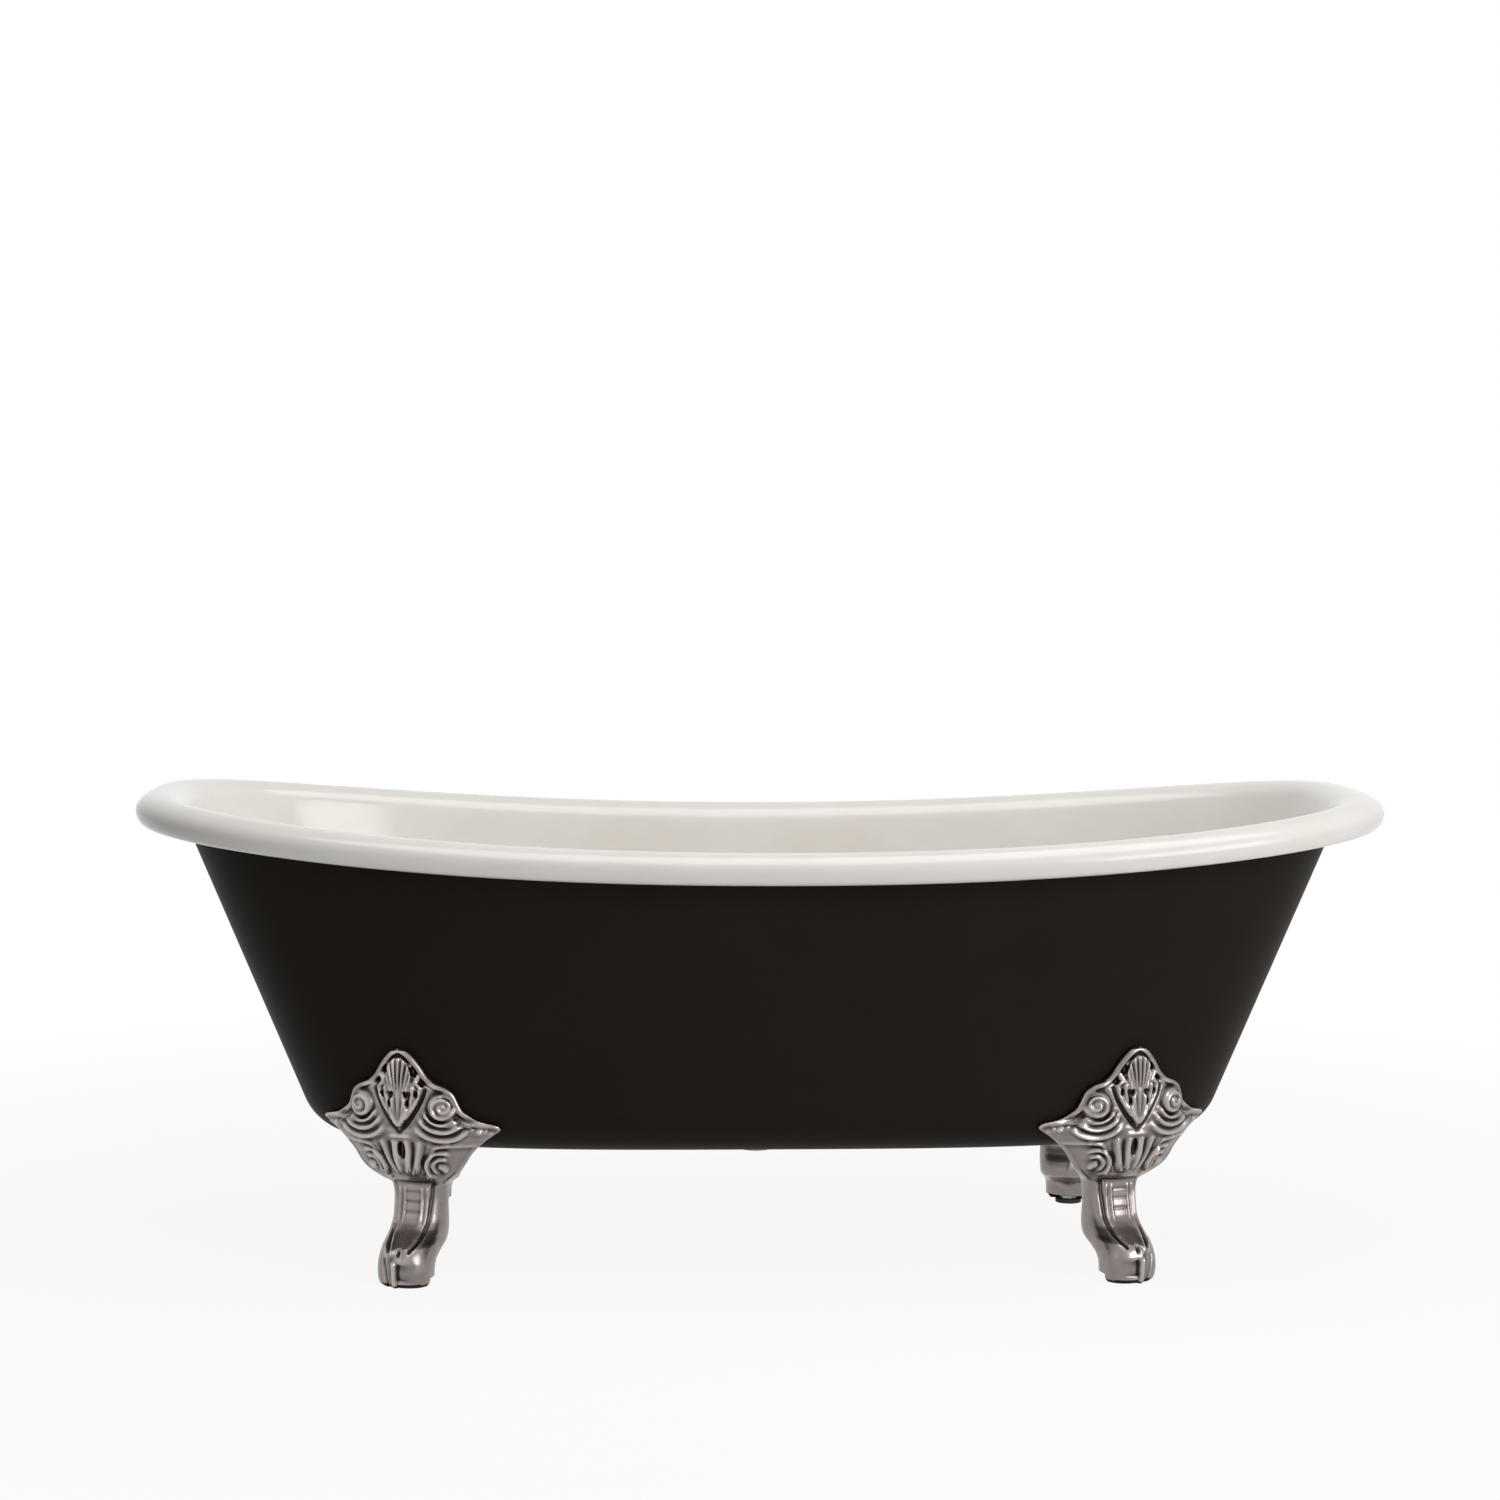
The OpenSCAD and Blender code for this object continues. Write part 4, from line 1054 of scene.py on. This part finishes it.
def corner_place(corner, u, v, height):
    """A place in a foot's frame, at one corner of the bath."""
    x, y, z = foot_to_bath(np.array([[u, v, height]]))[0]
    return CORNERS[corner][0] * x, CORNERS[corner][1] * y, z


# Finishes


def linear(code):
    """Linear colour from an sRGB hex value."""
    values = [int(code[i:i + 2], 16) / 255 for i in (1, 3, 5)]
    return [v / 12.92 if v <= 0.04045 else ((v + 0.055) / 1.055) ** 2.4 for v in values] + [1.0]


def new_material(name):
    material = bpy.data.materials.new(name)
    material.use_nodes = True
    return material, material.node_tree.nodes["Principled BSDF"]


def add_node(material, kind, links=None, **settings):
    """Adds a node with settings for its sockets or properties, and links each named socket
    to the output given for it."""
    node = material.node_tree.nodes.new(kind)
    for key, value in settings.items():
        if key in node.inputs:
            node.inputs[key].default_value = value
        else:
            setattr(node, key, value)
    for socket, source in (links or {}).items():
        material.node_tree.links.new(source, node.inputs[socket])
    return node


def link(material, source, target):
    material.node_tree.links.new(source, target)


def per_metre(size_mm):
    """Noise scale that gives features of a size in millimetres."""
    return 1 / (size_mm * MM)


# Sizes of the finishes' patterns and the depths of their bumps, in millimetres
ENAMEL_MOTTLE_SIZE = 90.0
ENAMEL_PEEL_SIZE = 14.0
ENAMEL_PEEL_DEPTH = 0.8
PAINT_CLOUD_SIZE = 120.0
PAINT_GRAIN_SIZE = 2.5
PAINT_GRAIN_DEPTH = 0.4
CASTING_CLOUD_SIZE = 16.0
CASTING_SKIN_SIZE = 5.0
CASTING_SKIN_DEPTH = 0.6
METAL_GRAIN_DEPTH = 0.3
RUBBER_BLOOM_SIZE = 8.0
RUBBER_GRAIN_DEPTH = 0.4


def vitreous_enamel(colours):
    """Fired white enamel: a glassy coat with a faint warm mottle and a soft orange peel."""
    material, shader = new_material("vitreous_enamel_fired_white")
    place = add_node(material, "ShaderNodeTexCoord").outputs["Object"]
    mottle = add_node(
        material, "ShaderNodeTexNoise", {"Vector": place},
        Scale=per_metre(ENAMEL_MOTTLE_SIZE), Detail=3.0,
    )
    tint = add_node(material, "ShaderNodeValToRGB", {"Fac": mottle.outputs["Fac"]})
    tint.color_ramp.elements[0].color = linear(colours.enamel_mottle)
    tint.color_ramp.elements[1].color = linear(colours.enamel)
    tint.color_ramp.elements[0].position = 0.25
    tint.color_ramp.elements[1].position = 0.65
    link(material, tint.outputs["Color"], shader.inputs["Base Color"])
    peel = add_node(
        material, "ShaderNodeTexNoise", {"Vector": place},
        Scale=per_metre(ENAMEL_PEEL_SIZE), Detail=1.5,
    )
    bump = add_node(
        material, "ShaderNodeBump", {"Height": peel.outputs["Fac"]},
        Strength=0.10, Distance=ENAMEL_PEEL_DEPTH * MM,
    )
    link(material, bump.outputs["Normal"], shader.inputs["Normal"])
    shader.inputs["Roughness"].default_value = 0.16
    shader.inputs["IOR"].default_value = 1.52
    return material


PAINT_NAME = "satin_black_paint_on_cast_iron"


def satin_paint(colours):
    """Sprayed satin black over sanded iron: nearly even, with a fine grain in its sheen."""
    material, shader = new_material(PAINT_NAME)
    place = add_node(material, "ShaderNodeTexCoord").outputs["Object"]
    cloud = add_node(
        material, "ShaderNodeTexNoise", {"Vector": place},
        Scale=per_metre(PAINT_CLOUD_SIZE), Detail=4.0,
    )
    tint = add_node(material, "ShaderNodeValToRGB", {"Fac": cloud.outputs["Fac"]})
    tint.color_ramp.elements[0].color = linear(colours.paint_cloud)
    tint.color_ramp.elements[1].color = linear(colours.paint)
    link(material, tint.outputs["Color"], shader.inputs["Base Color"])
    sheen = add_node(
        material, "ShaderNodeMapRange", {"Value": cloud.outputs["Fac"]},
        **{"To Min": 0.46, "To Max": 0.56},
    )
    link(material, sheen.outputs["Result"], shader.inputs["Roughness"])
    grain = add_node(
        material, "ShaderNodeTexNoise", {"Vector": place},
        Scale=per_metre(PAINT_GRAIN_SIZE), Detail=3.0,
    )
    bump = add_node(
        material, "ShaderNodeBump", {"Height": grain.outputs["Fac"]},
        Strength=0.10, Distance=PAINT_GRAIN_DEPTH * MM,
    )
    link(material, bump.outputs["Normal"], shader.inputs["Normal"])
    shader.inputs["Specular IOR Level"].default_value = 0.03
    return material


def black_paint(colours):
    """The paint of the body, made once."""
    return bpy.data.materials.get(PAINT_NAME) or satin_paint(colours)


def nickel_plate(colours):
    """Aged nickel over a sand casting: warm grey, lighter on the high places, partly from wear
    and partly as a painted highlight, and darker in the hollows, partly from tarnish and
    partly as painted shade."""
    material, shader = new_material("aged_nickel_with_painted_shading_on_cast_iron")
    place = add_node(material, "ShaderNodeTexCoord").outputs["Object"]
    depth = add_node(material, "ShaderNodeAttribute", attribute_name="wear_and_shading")
    cloud = add_node(
        material, "ShaderNodeTexNoise", {"Vector": place},
        Scale=per_metre(CASTING_CLOUD_SIZE), Detail=5.0,
    )
    uneven = add_node(
        material, "ShaderNodeMapRange", {"Value": cloud.outputs["Fac"]},
        **{"To Min": -0.12, "To Max": 0.12},
    )
    shares = add_node(
        material, "ShaderNodeMath",
        {0: depth.outputs["Fac"], 1: uneven.outputs["Result"]}, operation="ADD", use_clamp=True,
    )
    # High places lighter, hollows darker: wear and tarnish, also painted highlight and shade
    tint = add_node(material, "ShaderNodeValToRGB", {"Fac": shares.outputs["Value"]})
    tint.color_ramp.elements[0].color = linear(colours.pale_nickel)
    tint.color_ramp.elements[1].color = linear(colours.patina_and_shade)
    middle = tint.color_ramp.elements.new(0.5)
    middle.color = linear(colours.nickel)
    tint.color_ramp.elements[0].position = 0.1
    tint.color_ramp.elements[2].position = 0.9
    link(material, tint.outputs["Color"], shader.inputs["Base Color"])
    rough = add_node(
        material, "ShaderNodeMapRange", {"Value": shares.outputs["Value"]},
        **{"To Min": 0.17, "To Max": 0.38},
    )
    link(material, rough.outputs["Result"], shader.inputs["Roughness"])
    skin = add_node(
        material, "ShaderNodeTexNoise", {"Vector": place},
        Scale=per_metre(CASTING_SKIN_SIZE), Detail=4.0,
    )
    bump = add_node(
        material, "ShaderNodeBump", {"Height": skin.outputs["Fac"]},
        Strength=0.16, Distance=CASTING_SKIN_DEPTH * MM,
    )
    link(material, bump.outputs["Normal"], shader.inputs["Normal"])
    shader.inputs["Metallic"].default_value = 1.0
    return material


# How dark the grain of a plain metal is beside its colour, and how its roughness varies
GRAIN_SHADE = 0.8
SHEEN_SPREAD = (0.8, 1.25)


def plain_metal(name, colour, rough, grain_mm):
    """Turned, drawn or tumbled metal with a fine grain that varies its sheen. The grain is
    drawn coarser than it is, so that it shows at all."""
    material, shader = new_material(name)
    place = add_node(material, "ShaderNodeTexCoord").outputs["Object"]
    grain = add_node(
        material, "ShaderNodeTexNoise", {"Vector": place}, Scale=per_metre(grain_mm), Detail=4.0
    )
    tint = add_node(material, "ShaderNodeValToRGB", {"Fac": grain.outputs["Fac"]})
    *bright, opaque = linear(colour)
    tint.color_ramp.elements[0].color = [GRAIN_SHADE * value for value in bright] + [opaque]
    tint.color_ramp.elements[1].color = bright + [opaque]
    link(material, tint.outputs["Color"], shader.inputs["Base Color"])
    sheen = add_node(
        material, "ShaderNodeMapRange", {"Value": grain.outputs["Fac"]},
        **{"To Min": rough * SHEEN_SPREAD[0], "To Max": rough * SHEEN_SPREAD[1]},
    )
    link(material, sheen.outputs["Result"], shader.inputs["Roughness"])
    bump = add_node(
        material, "ShaderNodeBump", {"Height": grain.outputs["Fac"]},
        Strength=0.12, Distance=METAL_GRAIN_DEPTH * MM,
    )
    link(material, bump.outputs["Normal"], shader.inputs["Normal"])
    shader.inputs["Metallic"].default_value = 1.0
    return material


def moulded_rubber(name, colours):
    """Moulded black rubber: matte, with a faint grey bloom."""
    material, shader = new_material(name)
    place = add_node(material, "ShaderNodeTexCoord").outputs["Object"]
    bloom = add_node(
        material, "ShaderNodeTexNoise", {"Vector": place},
        Scale=per_metre(RUBBER_BLOOM_SIZE), Detail=3.0,
    )
    tint = add_node(material, "ShaderNodeValToRGB", {"Fac": bloom.outputs["Fac"]})
    tint.color_ramp.elements[0].color = linear(colours.rubber)
    tint.color_ramp.elements[1].color = linear(colours.bloom)
    link(material, tint.outputs["Color"], shader.inputs["Base Color"])
    bump = add_node(
        material, "ShaderNodeBump", {"Height": bloom.outputs["Fac"]},
        Strength=0.15, Distance=RUBBER_GRAIN_DEPTH * MM,
    )
    link(material, bump.outputs["Normal"], shader.inputs["Normal"])
    shader.inputs["Roughness"].default_value = 0.72
    return material


def give(piece, material):
    piece.data.materials.clear()
    piece.data.materials.append(material)


def dress_nodes(names, material):
    """Gives carried-over pieces of the frame their finish."""
    for name in names:
        node = frame["nodes"][name]
        for slot in node.material_slots:
            slot.material = material
        if not node.material_slots:
            node.data.materials.append(material)


# Operators


class BATH_OT_casting(bpy.types.Operator):
    """Builds the cast iron body with its rolled rim, bosses and holes"""

    bl_idname = "bath.casting"
    bl_label = "Cast iron body"

    def execute(self, context):
        stations = context.scene.bath_detail.stations
        piece = closed_skin("iron_body", ENAMEL_THICKNESS, WALL_THICKNESS, stations)
        for corner in CORNERS:
            length = BOSS_HEIGHT + IRON_THICKNESS / 2
            middle = UNDERSIDE_HEIGHT - BOSS_HEIGHT + length / 2
            place = upright(*corner_place(corner, 0, -BOLT_DEPTH, middle))
            boss = cylinder_piece("boss_tool", BOSS_DIAMETER, place, length, ROUND_SEGMENTS)
            apply_boolean(piece, boss, "UNION")
        cut_plumbing_holes(piece)
        shade(piece)
        give(piece, black_paint(context.scene.bath_colours))
        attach(piece, "bath")
        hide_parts("bath_shell")
        return {"FINISHED"}


class BATH_OT_enamel(bpy.types.Operator):
    """Builds the white enamel over the inside and the rolled rim"""

    bl_idname = "bath.enamel"
    bl_label = "Enamel lining"

    def execute(self, context):
        stations = context.scene.bath_detail.stations
        piece = closed_skin("enamel", 0, ENAMEL_THICKNESS - BOND_GAP, stations)
        cut_plumbing_holes(piece)
        shade(piece)
        give(piece, vitreous_enamel(context.scene.bath_colours))
        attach(piece, "bath")
        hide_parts("enamel_lining")
        return {"FINISHED"}


def prism(low, high):
    """Solid between two outlines that have the same number of points."""
    count = len(low)
    faces = [tuple(range(count))[::-1], tuple(range(count, 2 * count))]
    for i in range(count):
        j = (i + 1) % count
        faces.append((i, j, count + j, count + i))
    return np.array(low + high, float), faces


LUG_TURNS = np.linspace(math.pi, 2 * math.pi, 33)


def lug_solid():
    """Lug that takes the bolt behind the foot, in the foot's frame."""
    half = BOSS_DIAMETER / 2
    outline = [
        (half * math.cos(turn), half * math.sin(turn) - BOLT_DEPTH) for turn in LUG_TURNS
    ]
    outline = outline + [(half, -LUG_ROOT), (-half, -LUG_ROOT)]
    top = LUG_BOTTOM + LUG_THICKNESS
    return prism([(u, v, LUG_BOTTOM) for u, v in outline], [(u, v, top) for u, v in outline])


def rib_solid():
    """Rib that carries the lug on the leg, in the foot's frame."""
    half = RIB_WIDTH / 2
    top = LUG_BOTTOM + LUG_THICKNESS / 2
    low = RIB_HEIGHT_SHARE * UNDERSIDE_HEIGHT
    outline = [
        (-FOOT_DEPTH / 3, top),
        (WASHER_DIAMETER - BOLT_DEPTH, top),
        (-RIB_FOOT_SHARE * FOOT_DEPTH, low),
        (-FOOT_DEPTH / 2, low),
    ]
    return prism([(half, v, z) for v, z in outline], [(-half, v, z) for v, z in outline])


# How far above the raised heel's height the painted shade reaches, in millimetres, and how
# far a face has to look down or back to get it
SHADE_PAINT_MARGIN = 0.5
LOOKS_DOWN = 0.5
LOOKS_BACK = 0.3


def paint_shade_under_heel(piece, corner, paint):
    """Paints black what faces down or back under a raised heel, as painted shade there."""
    side, end = CORNERS[corner]
    piece.data.materials.append(paint)
    outward = Vector((side * V_AXIS[0], end * V_AXIS[1], 0))
    for face in piece.data.polygons:
        under_heel = face.center.z < (HEEL_HEIGHT + SHADE_PAINT_MARGIN) * MM
        in_shade = face.normal.z < -LOOKS_DOWN or face.normal.dot(outward) < -LOOKS_BACK
        if under_heel and in_shade:
            face.material_index = 1


class BATH_OT_feet(bpy.types.Operator):
    """Builds the four claw feet with their ornament"""

    bl_idname = "bath.feet"
    bl_label = "Claw feet"

    def execute(self, context):
        detail = context.scene.bath_detail
        grid, wear_and_shading = foot_surface(detail.foot_step, detail.foot_columns, detail.relief)
        rows, count = grid.shape[:2]
        points = grid.reshape(-1, 3)
        middle_low = points[:count].mean(axis=0)
        middle_high = points[-count:].mean(axis=0)
        points = np.concatenate([points, [middle_low], [middle_high]])
        last = (rows - 1) * count
        faces = ring_faces(rows, count)
        faces = faces + fan_faces(rows * count, list(range(count)), False)
        faces = faces + fan_faces(rows * count + 1, list(range(last, last + count)), True)
        wear_and_shading = np.concatenate([wear_and_shading.reshape(-1), [0, 0]])
        metal = nickel_plate(context.scene.bath_colours)
        sole_shade_paint = black_paint(context.scene.bath_colours)
        for corner, (side, end) in CORNERS.items():
            mirror = np.array([side, end, 1])
            flip = side * end > 0
            bath_points = foot_to_bath(points) * mirror
            corner_faces = [face[::-1] for face in faces] if flip else faces
            piece = new_piece(f"claw_foot_{corner}", bath_points, corner_faces)
            # Share of tarnish and wear, and of painted shade and highlight, for the nickel
            layer = piece.data.attributes.new("wear_and_shading", "FLOAT", "POINT")
            layer.data.foreach_set("value", wear_and_shading)
            for extra_points, extra_faces in (lug_solid(), rib_solid()):
                extra = [face[::-1] for face in extra_faces] if flip else extra_faces
                tool = new_piece("lug_tool", foot_to_bath(extra_points) * mirror, extra)
                apply_boolean(piece, tool, "UNION")
            bolt = upright(*corner_place(corner, 0, -BOLT_DEPTH, LUG_BOTTOM))
            cut_hole(piece, LUG_BOLT_HOLE, bolt, segments=SMALL_ROUND_SEGMENTS)
            screw = upright(*corner_place(corner, 0, -LEVEL_DEPTH, 0))
            cut_hole(piece, LEVEL_BORE, screw, 2 * LEVEL_BORE_HEIGHT, SMALL_ROUND_SEGMENTS)
            shade(piece, sharp_degrees=50)
            give(piece, metal)
            # Black paint under the raised heel is painted shade
            paint_shade_under_heel(piece, corner, sole_shade_paint)
            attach(piece, "bath")
            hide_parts(f"foot_{corner}")
        return {"FINISHED"}


class BATH_OT_fixings(bpy.types.Operator):
    """Finishes the foot bolts, washers, levelling screws and pads"""

    bl_idname = "bath.fixings"
    bl_label = "Foot fixings"

    def execute(self, context):
        colours = context.scene.bath_colours
        zinc = plain_metal("zinc_plated_steel", colours.zinc, rough=0.3, grain_mm=3)
        screws = [f"level_screw_{corner}" for corner in CORNERS]
        dress_nodes(["foot_bolts", "foot_washers"] + screws, zinc)
        pads = [f"level_pad_{corner}" for corner in CORNERS]
        dress_nodes(pads, moulded_rubber("black_rubber_pads", colours))
        return {"FINISHED"}


class BATH_OT_plumbing(bpy.types.Operator):
    """Finishes the waste, the plug and the overflow"""

    bl_idname = "bath.plumbing"
    bl_label = "Waste, plug and overflow"

    def execute(self, context):
        colours = context.scene.bath_colours
        nickel = plain_metal(
            "brushed_nickel_on_brass", colours.pale_nickel, rough=0.24, grain_mm=2
        )
        dress_nodes(
            ["waste_flange", "plug_cap", "overflow_faceplate", "overflow_pipe",
             "overflow_top_nut", "overflow_bottom_nut", "overflow_screw"],
            nickel,
        )
        cast = plain_metal("cast_brass_tumbled", colours.cast_brass, rough=0.42, grain_mm=4)
        dress_nodes(["waste_tee", "overflow_elbow"], cast)
        brass = plain_metal("turned_brass", colours.brass, rough=0.26, grain_mm=1.5)
        dress_nodes(["plug_stem", "plug_cartridge"], brass)
        steel = plain_metal("stainless_spring_wire", colours.zinc, rough=0.28, grain_mm=1)
        dress_nodes(["cartridge_spring"], steel)
        rubber = moulded_rubber("black_rubber_seals", colours)
        dress_nodes(
            ["waste_flange_seal", "waste_tee_seal", "plug_seal", "overflow_inner_seal",
             "overflow_outer_seal", "overflow_sealing_rings"],
            rubber,
        )
        return {"FINISHED"}


# Camera of the photograph: place in metres, direction, roll in radians, lens in millimetres
CAMERA_PLACE = Vector((-0.2329, -4.3234, 1.0020))
CAMERA_LOOK = Vector((0.04995, 0.99611, -0.07264))
CAMERA_ROLL = 0.0054
CAMERA_LENS = 75.19
SENSOR_WIDTH = 36.0


def area_lamp(name, place, target, size, watts):
    lamp = bpy.data.lights.new(name, "AREA")
    lamp.shape = "RECTANGLE"
    lamp.size, lamp.size_y = size
    lamp.energy = watts
    holder = bpy.data.objects.new(name, lamp)
    bpy.context.scene.collection.objects.link(holder)
    look = (Vector(target) - Vector(place)).to_track_quat("-Z", "Y")
    holder.matrix_world = Matrix.Translation(Vector(place)) @ look.to_matrix().to_4x4()


def background_rays(material):
    """1 for rays that see the background itself: from the camera, in gloss and through glass."""
    path = add_node(material, "ShaderNodeLightPath")
    seen = add_node(
        material, "ShaderNodeMath",
        {0: path.outputs["Is Camera Ray"], 1: path.outputs["Is Glossy Ray"]}, operation="MAXIMUM",
    )
    return add_node(
        material, "ShaderNodeMath",
        {0: seen.outputs["Value"], 1: path.outputs["Is Transmission Ray"]}, operation="MAXIMUM",
    ).outputs["Value"]


# Distances from the bath, in metres, between which the floor turns from keeping its shadow
# to plain white, and how much of it glows under the bath
SHADOW_REACH = 1.1
CLEAR_REACH = 2.4
NEAR_GLOW = 0.91


def studio_floor(colours):
    """Painted white studio floor: matte, and plain white where it is far from the bath."""
    material, shader = new_material("matte_white_studio_floor")
    seen = background_rays(material)
    shader.inputs["Base Color"].default_value = linear(colours.floor)
    shader.inputs["Roughness"].default_value = 0.9
    shader.inputs["Specular IOR Level"].default_value = 0.1
    glow = add_node(material, "ShaderNodeEmission", Strength=1.0)
    place = add_node(material, "ShaderNodeTexCoord").outputs["Object"]
    away = add_node(material, "ShaderNodeVectorMath", {0: place}, operation="LENGTH")
    clear = add_node(
        material, "ShaderNodeMapRange", {"Value": away.outputs["Value"]},
        interpolation_type="SMOOTHSTEP",
        **{"From Min": SHADOW_REACH, "From Max": CLEAR_REACH, "To Min": NEAR_GLOW},
    )
    share = add_node(
        material, "ShaderNodeMath",
        {0: seen, 1: clear.outputs["Result"]}, operation="MULTIPLY",
    )
    blend = add_node(
        material, "ShaderNodeMixShader",
        {0: share.outputs["Value"], 1: shader.outputs["BSDF"], 2: glow.outputs["Emission"]},
    )
    output = material.node_tree.nodes["Material Output"]
    link(material, blend.outputs["Shader"], output.inputs["Surface"])
    return material


FLOOR_SIZE = 60.0
# Lamps: name, place, what it is aimed at and size, in metres
LAMPS = (
    ("key_lamp", (2.4, -2.9, 1.35), (0.1, 0.0, 0.4), (2.2, 2.2)),
    ("top_lamp", (0.2, -0.3, 3.0), (0.0, 0.0, 0.3), (3.0, 2.0)),
    ("fill_lamp", (-3.2, -2.4, 1.6), (0.0, 0.0, 0.4), (1.6, 1.6)),
)


class BATH_OT_stage(bpy.types.Operator):
    """Makes the floor, the white room, the lamps and the camera"""

    bl_idname = "bath.stage"
    bl_label = "Stage, lamps and camera"

    def execute(self, context):
        scene = context.scene
        look = scene.bath_stage
        half = FLOOR_SIZE / 2 / MM
        corners = [(-half, -half, 0), (half, -half, 0), (half, half, 0), (-half, half, 0)]
        floor = new_piece("studio_floor", corners, [(0, 1, 2, 3)])
        give(floor, studio_floor(scene.bath_colours))

        world = bpy.data.worlds.new("white_room")
        world.use_nodes = True
        scene.world = world
        room = world.node_tree.nodes["Background"]
        room.inputs["Color"].default_value = (1, 1, 1, 1)
        strength = add_node(
            world, "ShaderNodeMix", {0: background_rays(world)}, data_type="FLOAT"
        )
        strength.inputs[2].default_value = look.surround
        strength.inputs[3].default_value = 1.0
        link(world, strength.outputs[0], room.inputs["Strength"])

        for lamp, watts in zip(LAMPS, (look.key_watts, look.top_watts, look.fill_watts)):
            area_lamp(*lamp, watts)

        lens = bpy.data.cameras.new("camera")
        lens.lens = CAMERA_LENS
        lens.sensor_width = SENSOR_WIDTH
        holder = bpy.data.objects.new("camera", lens)
        scene.collection.objects.link(holder)
        aim = CAMERA_LOOK.to_track_quat("-Z", "Y").to_matrix().to_4x4()
        roll = Matrix.Rotation(CAMERA_ROLL, 4, "Z")
        holder.matrix_world = Matrix.Translation(CAMERA_PLACE) @ aim @ roll
        scene.camera = holder
        scene.view_settings.view_transform = "Standard"
        return {"FINISHED"}


class BATH_PT_dressing(bpy.types.Panel):
    """Lists the steps and their settings"""

    bl_label = "Claw-foot bath"
    bl_idname = "BATH_PT_dressing"
    bl_space_type = "VIEW_3D"
    bl_region_type = "UI"
    bl_category = "Bath"

    def draw(self, context):
        for operator in OPERATORS:
            self.layout.operator(operator.bl_idname)
        for group in (
            context.scene.bath_detail, context.scene.bath_colours, context.scene.bath_stage
        ):
            for key in group.__annotations__:
                self.layout.prop(group, key)


OPERATORS = (
    BATH_OT_casting, BATH_OT_enamel, BATH_OT_feet, BATH_OT_fixings, BATH_OT_plumbing,
    BATH_OT_stage,
)
CLASSES = (BathDetail, BathColours, BathStage) + OPERATORS + (BATH_PT_dressing,)


def register():
    for item in CLASSES:
        bpy.utils.register_class(item)
    bpy.types.Scene.bath_detail = PointerProperty(type=BathDetail)
    bpy.types.Scene.bath_colours = PointerProperty(type=BathColours)
    bpy.types.Scene.bath_stage = PointerProperty(type=BathStage)


def unregister():
    del bpy.types.Scene.bath_detail
    del bpy.types.Scene.bath_colours
    del bpy.types.Scene.bath_stage
    for item in reversed(CLASSES):
        bpy.utils.unregister_class(item)


def main():
    register()
    bpy.ops.bath.casting()
    bpy.ops.bath.enamel()
    bpy.ops.bath.feet()
    bpy.ops.bath.fixings()
    bpy.ops.bath.plumbing()
    bpy.ops.bath.stage()


if __name__ == "__main__":
    main()
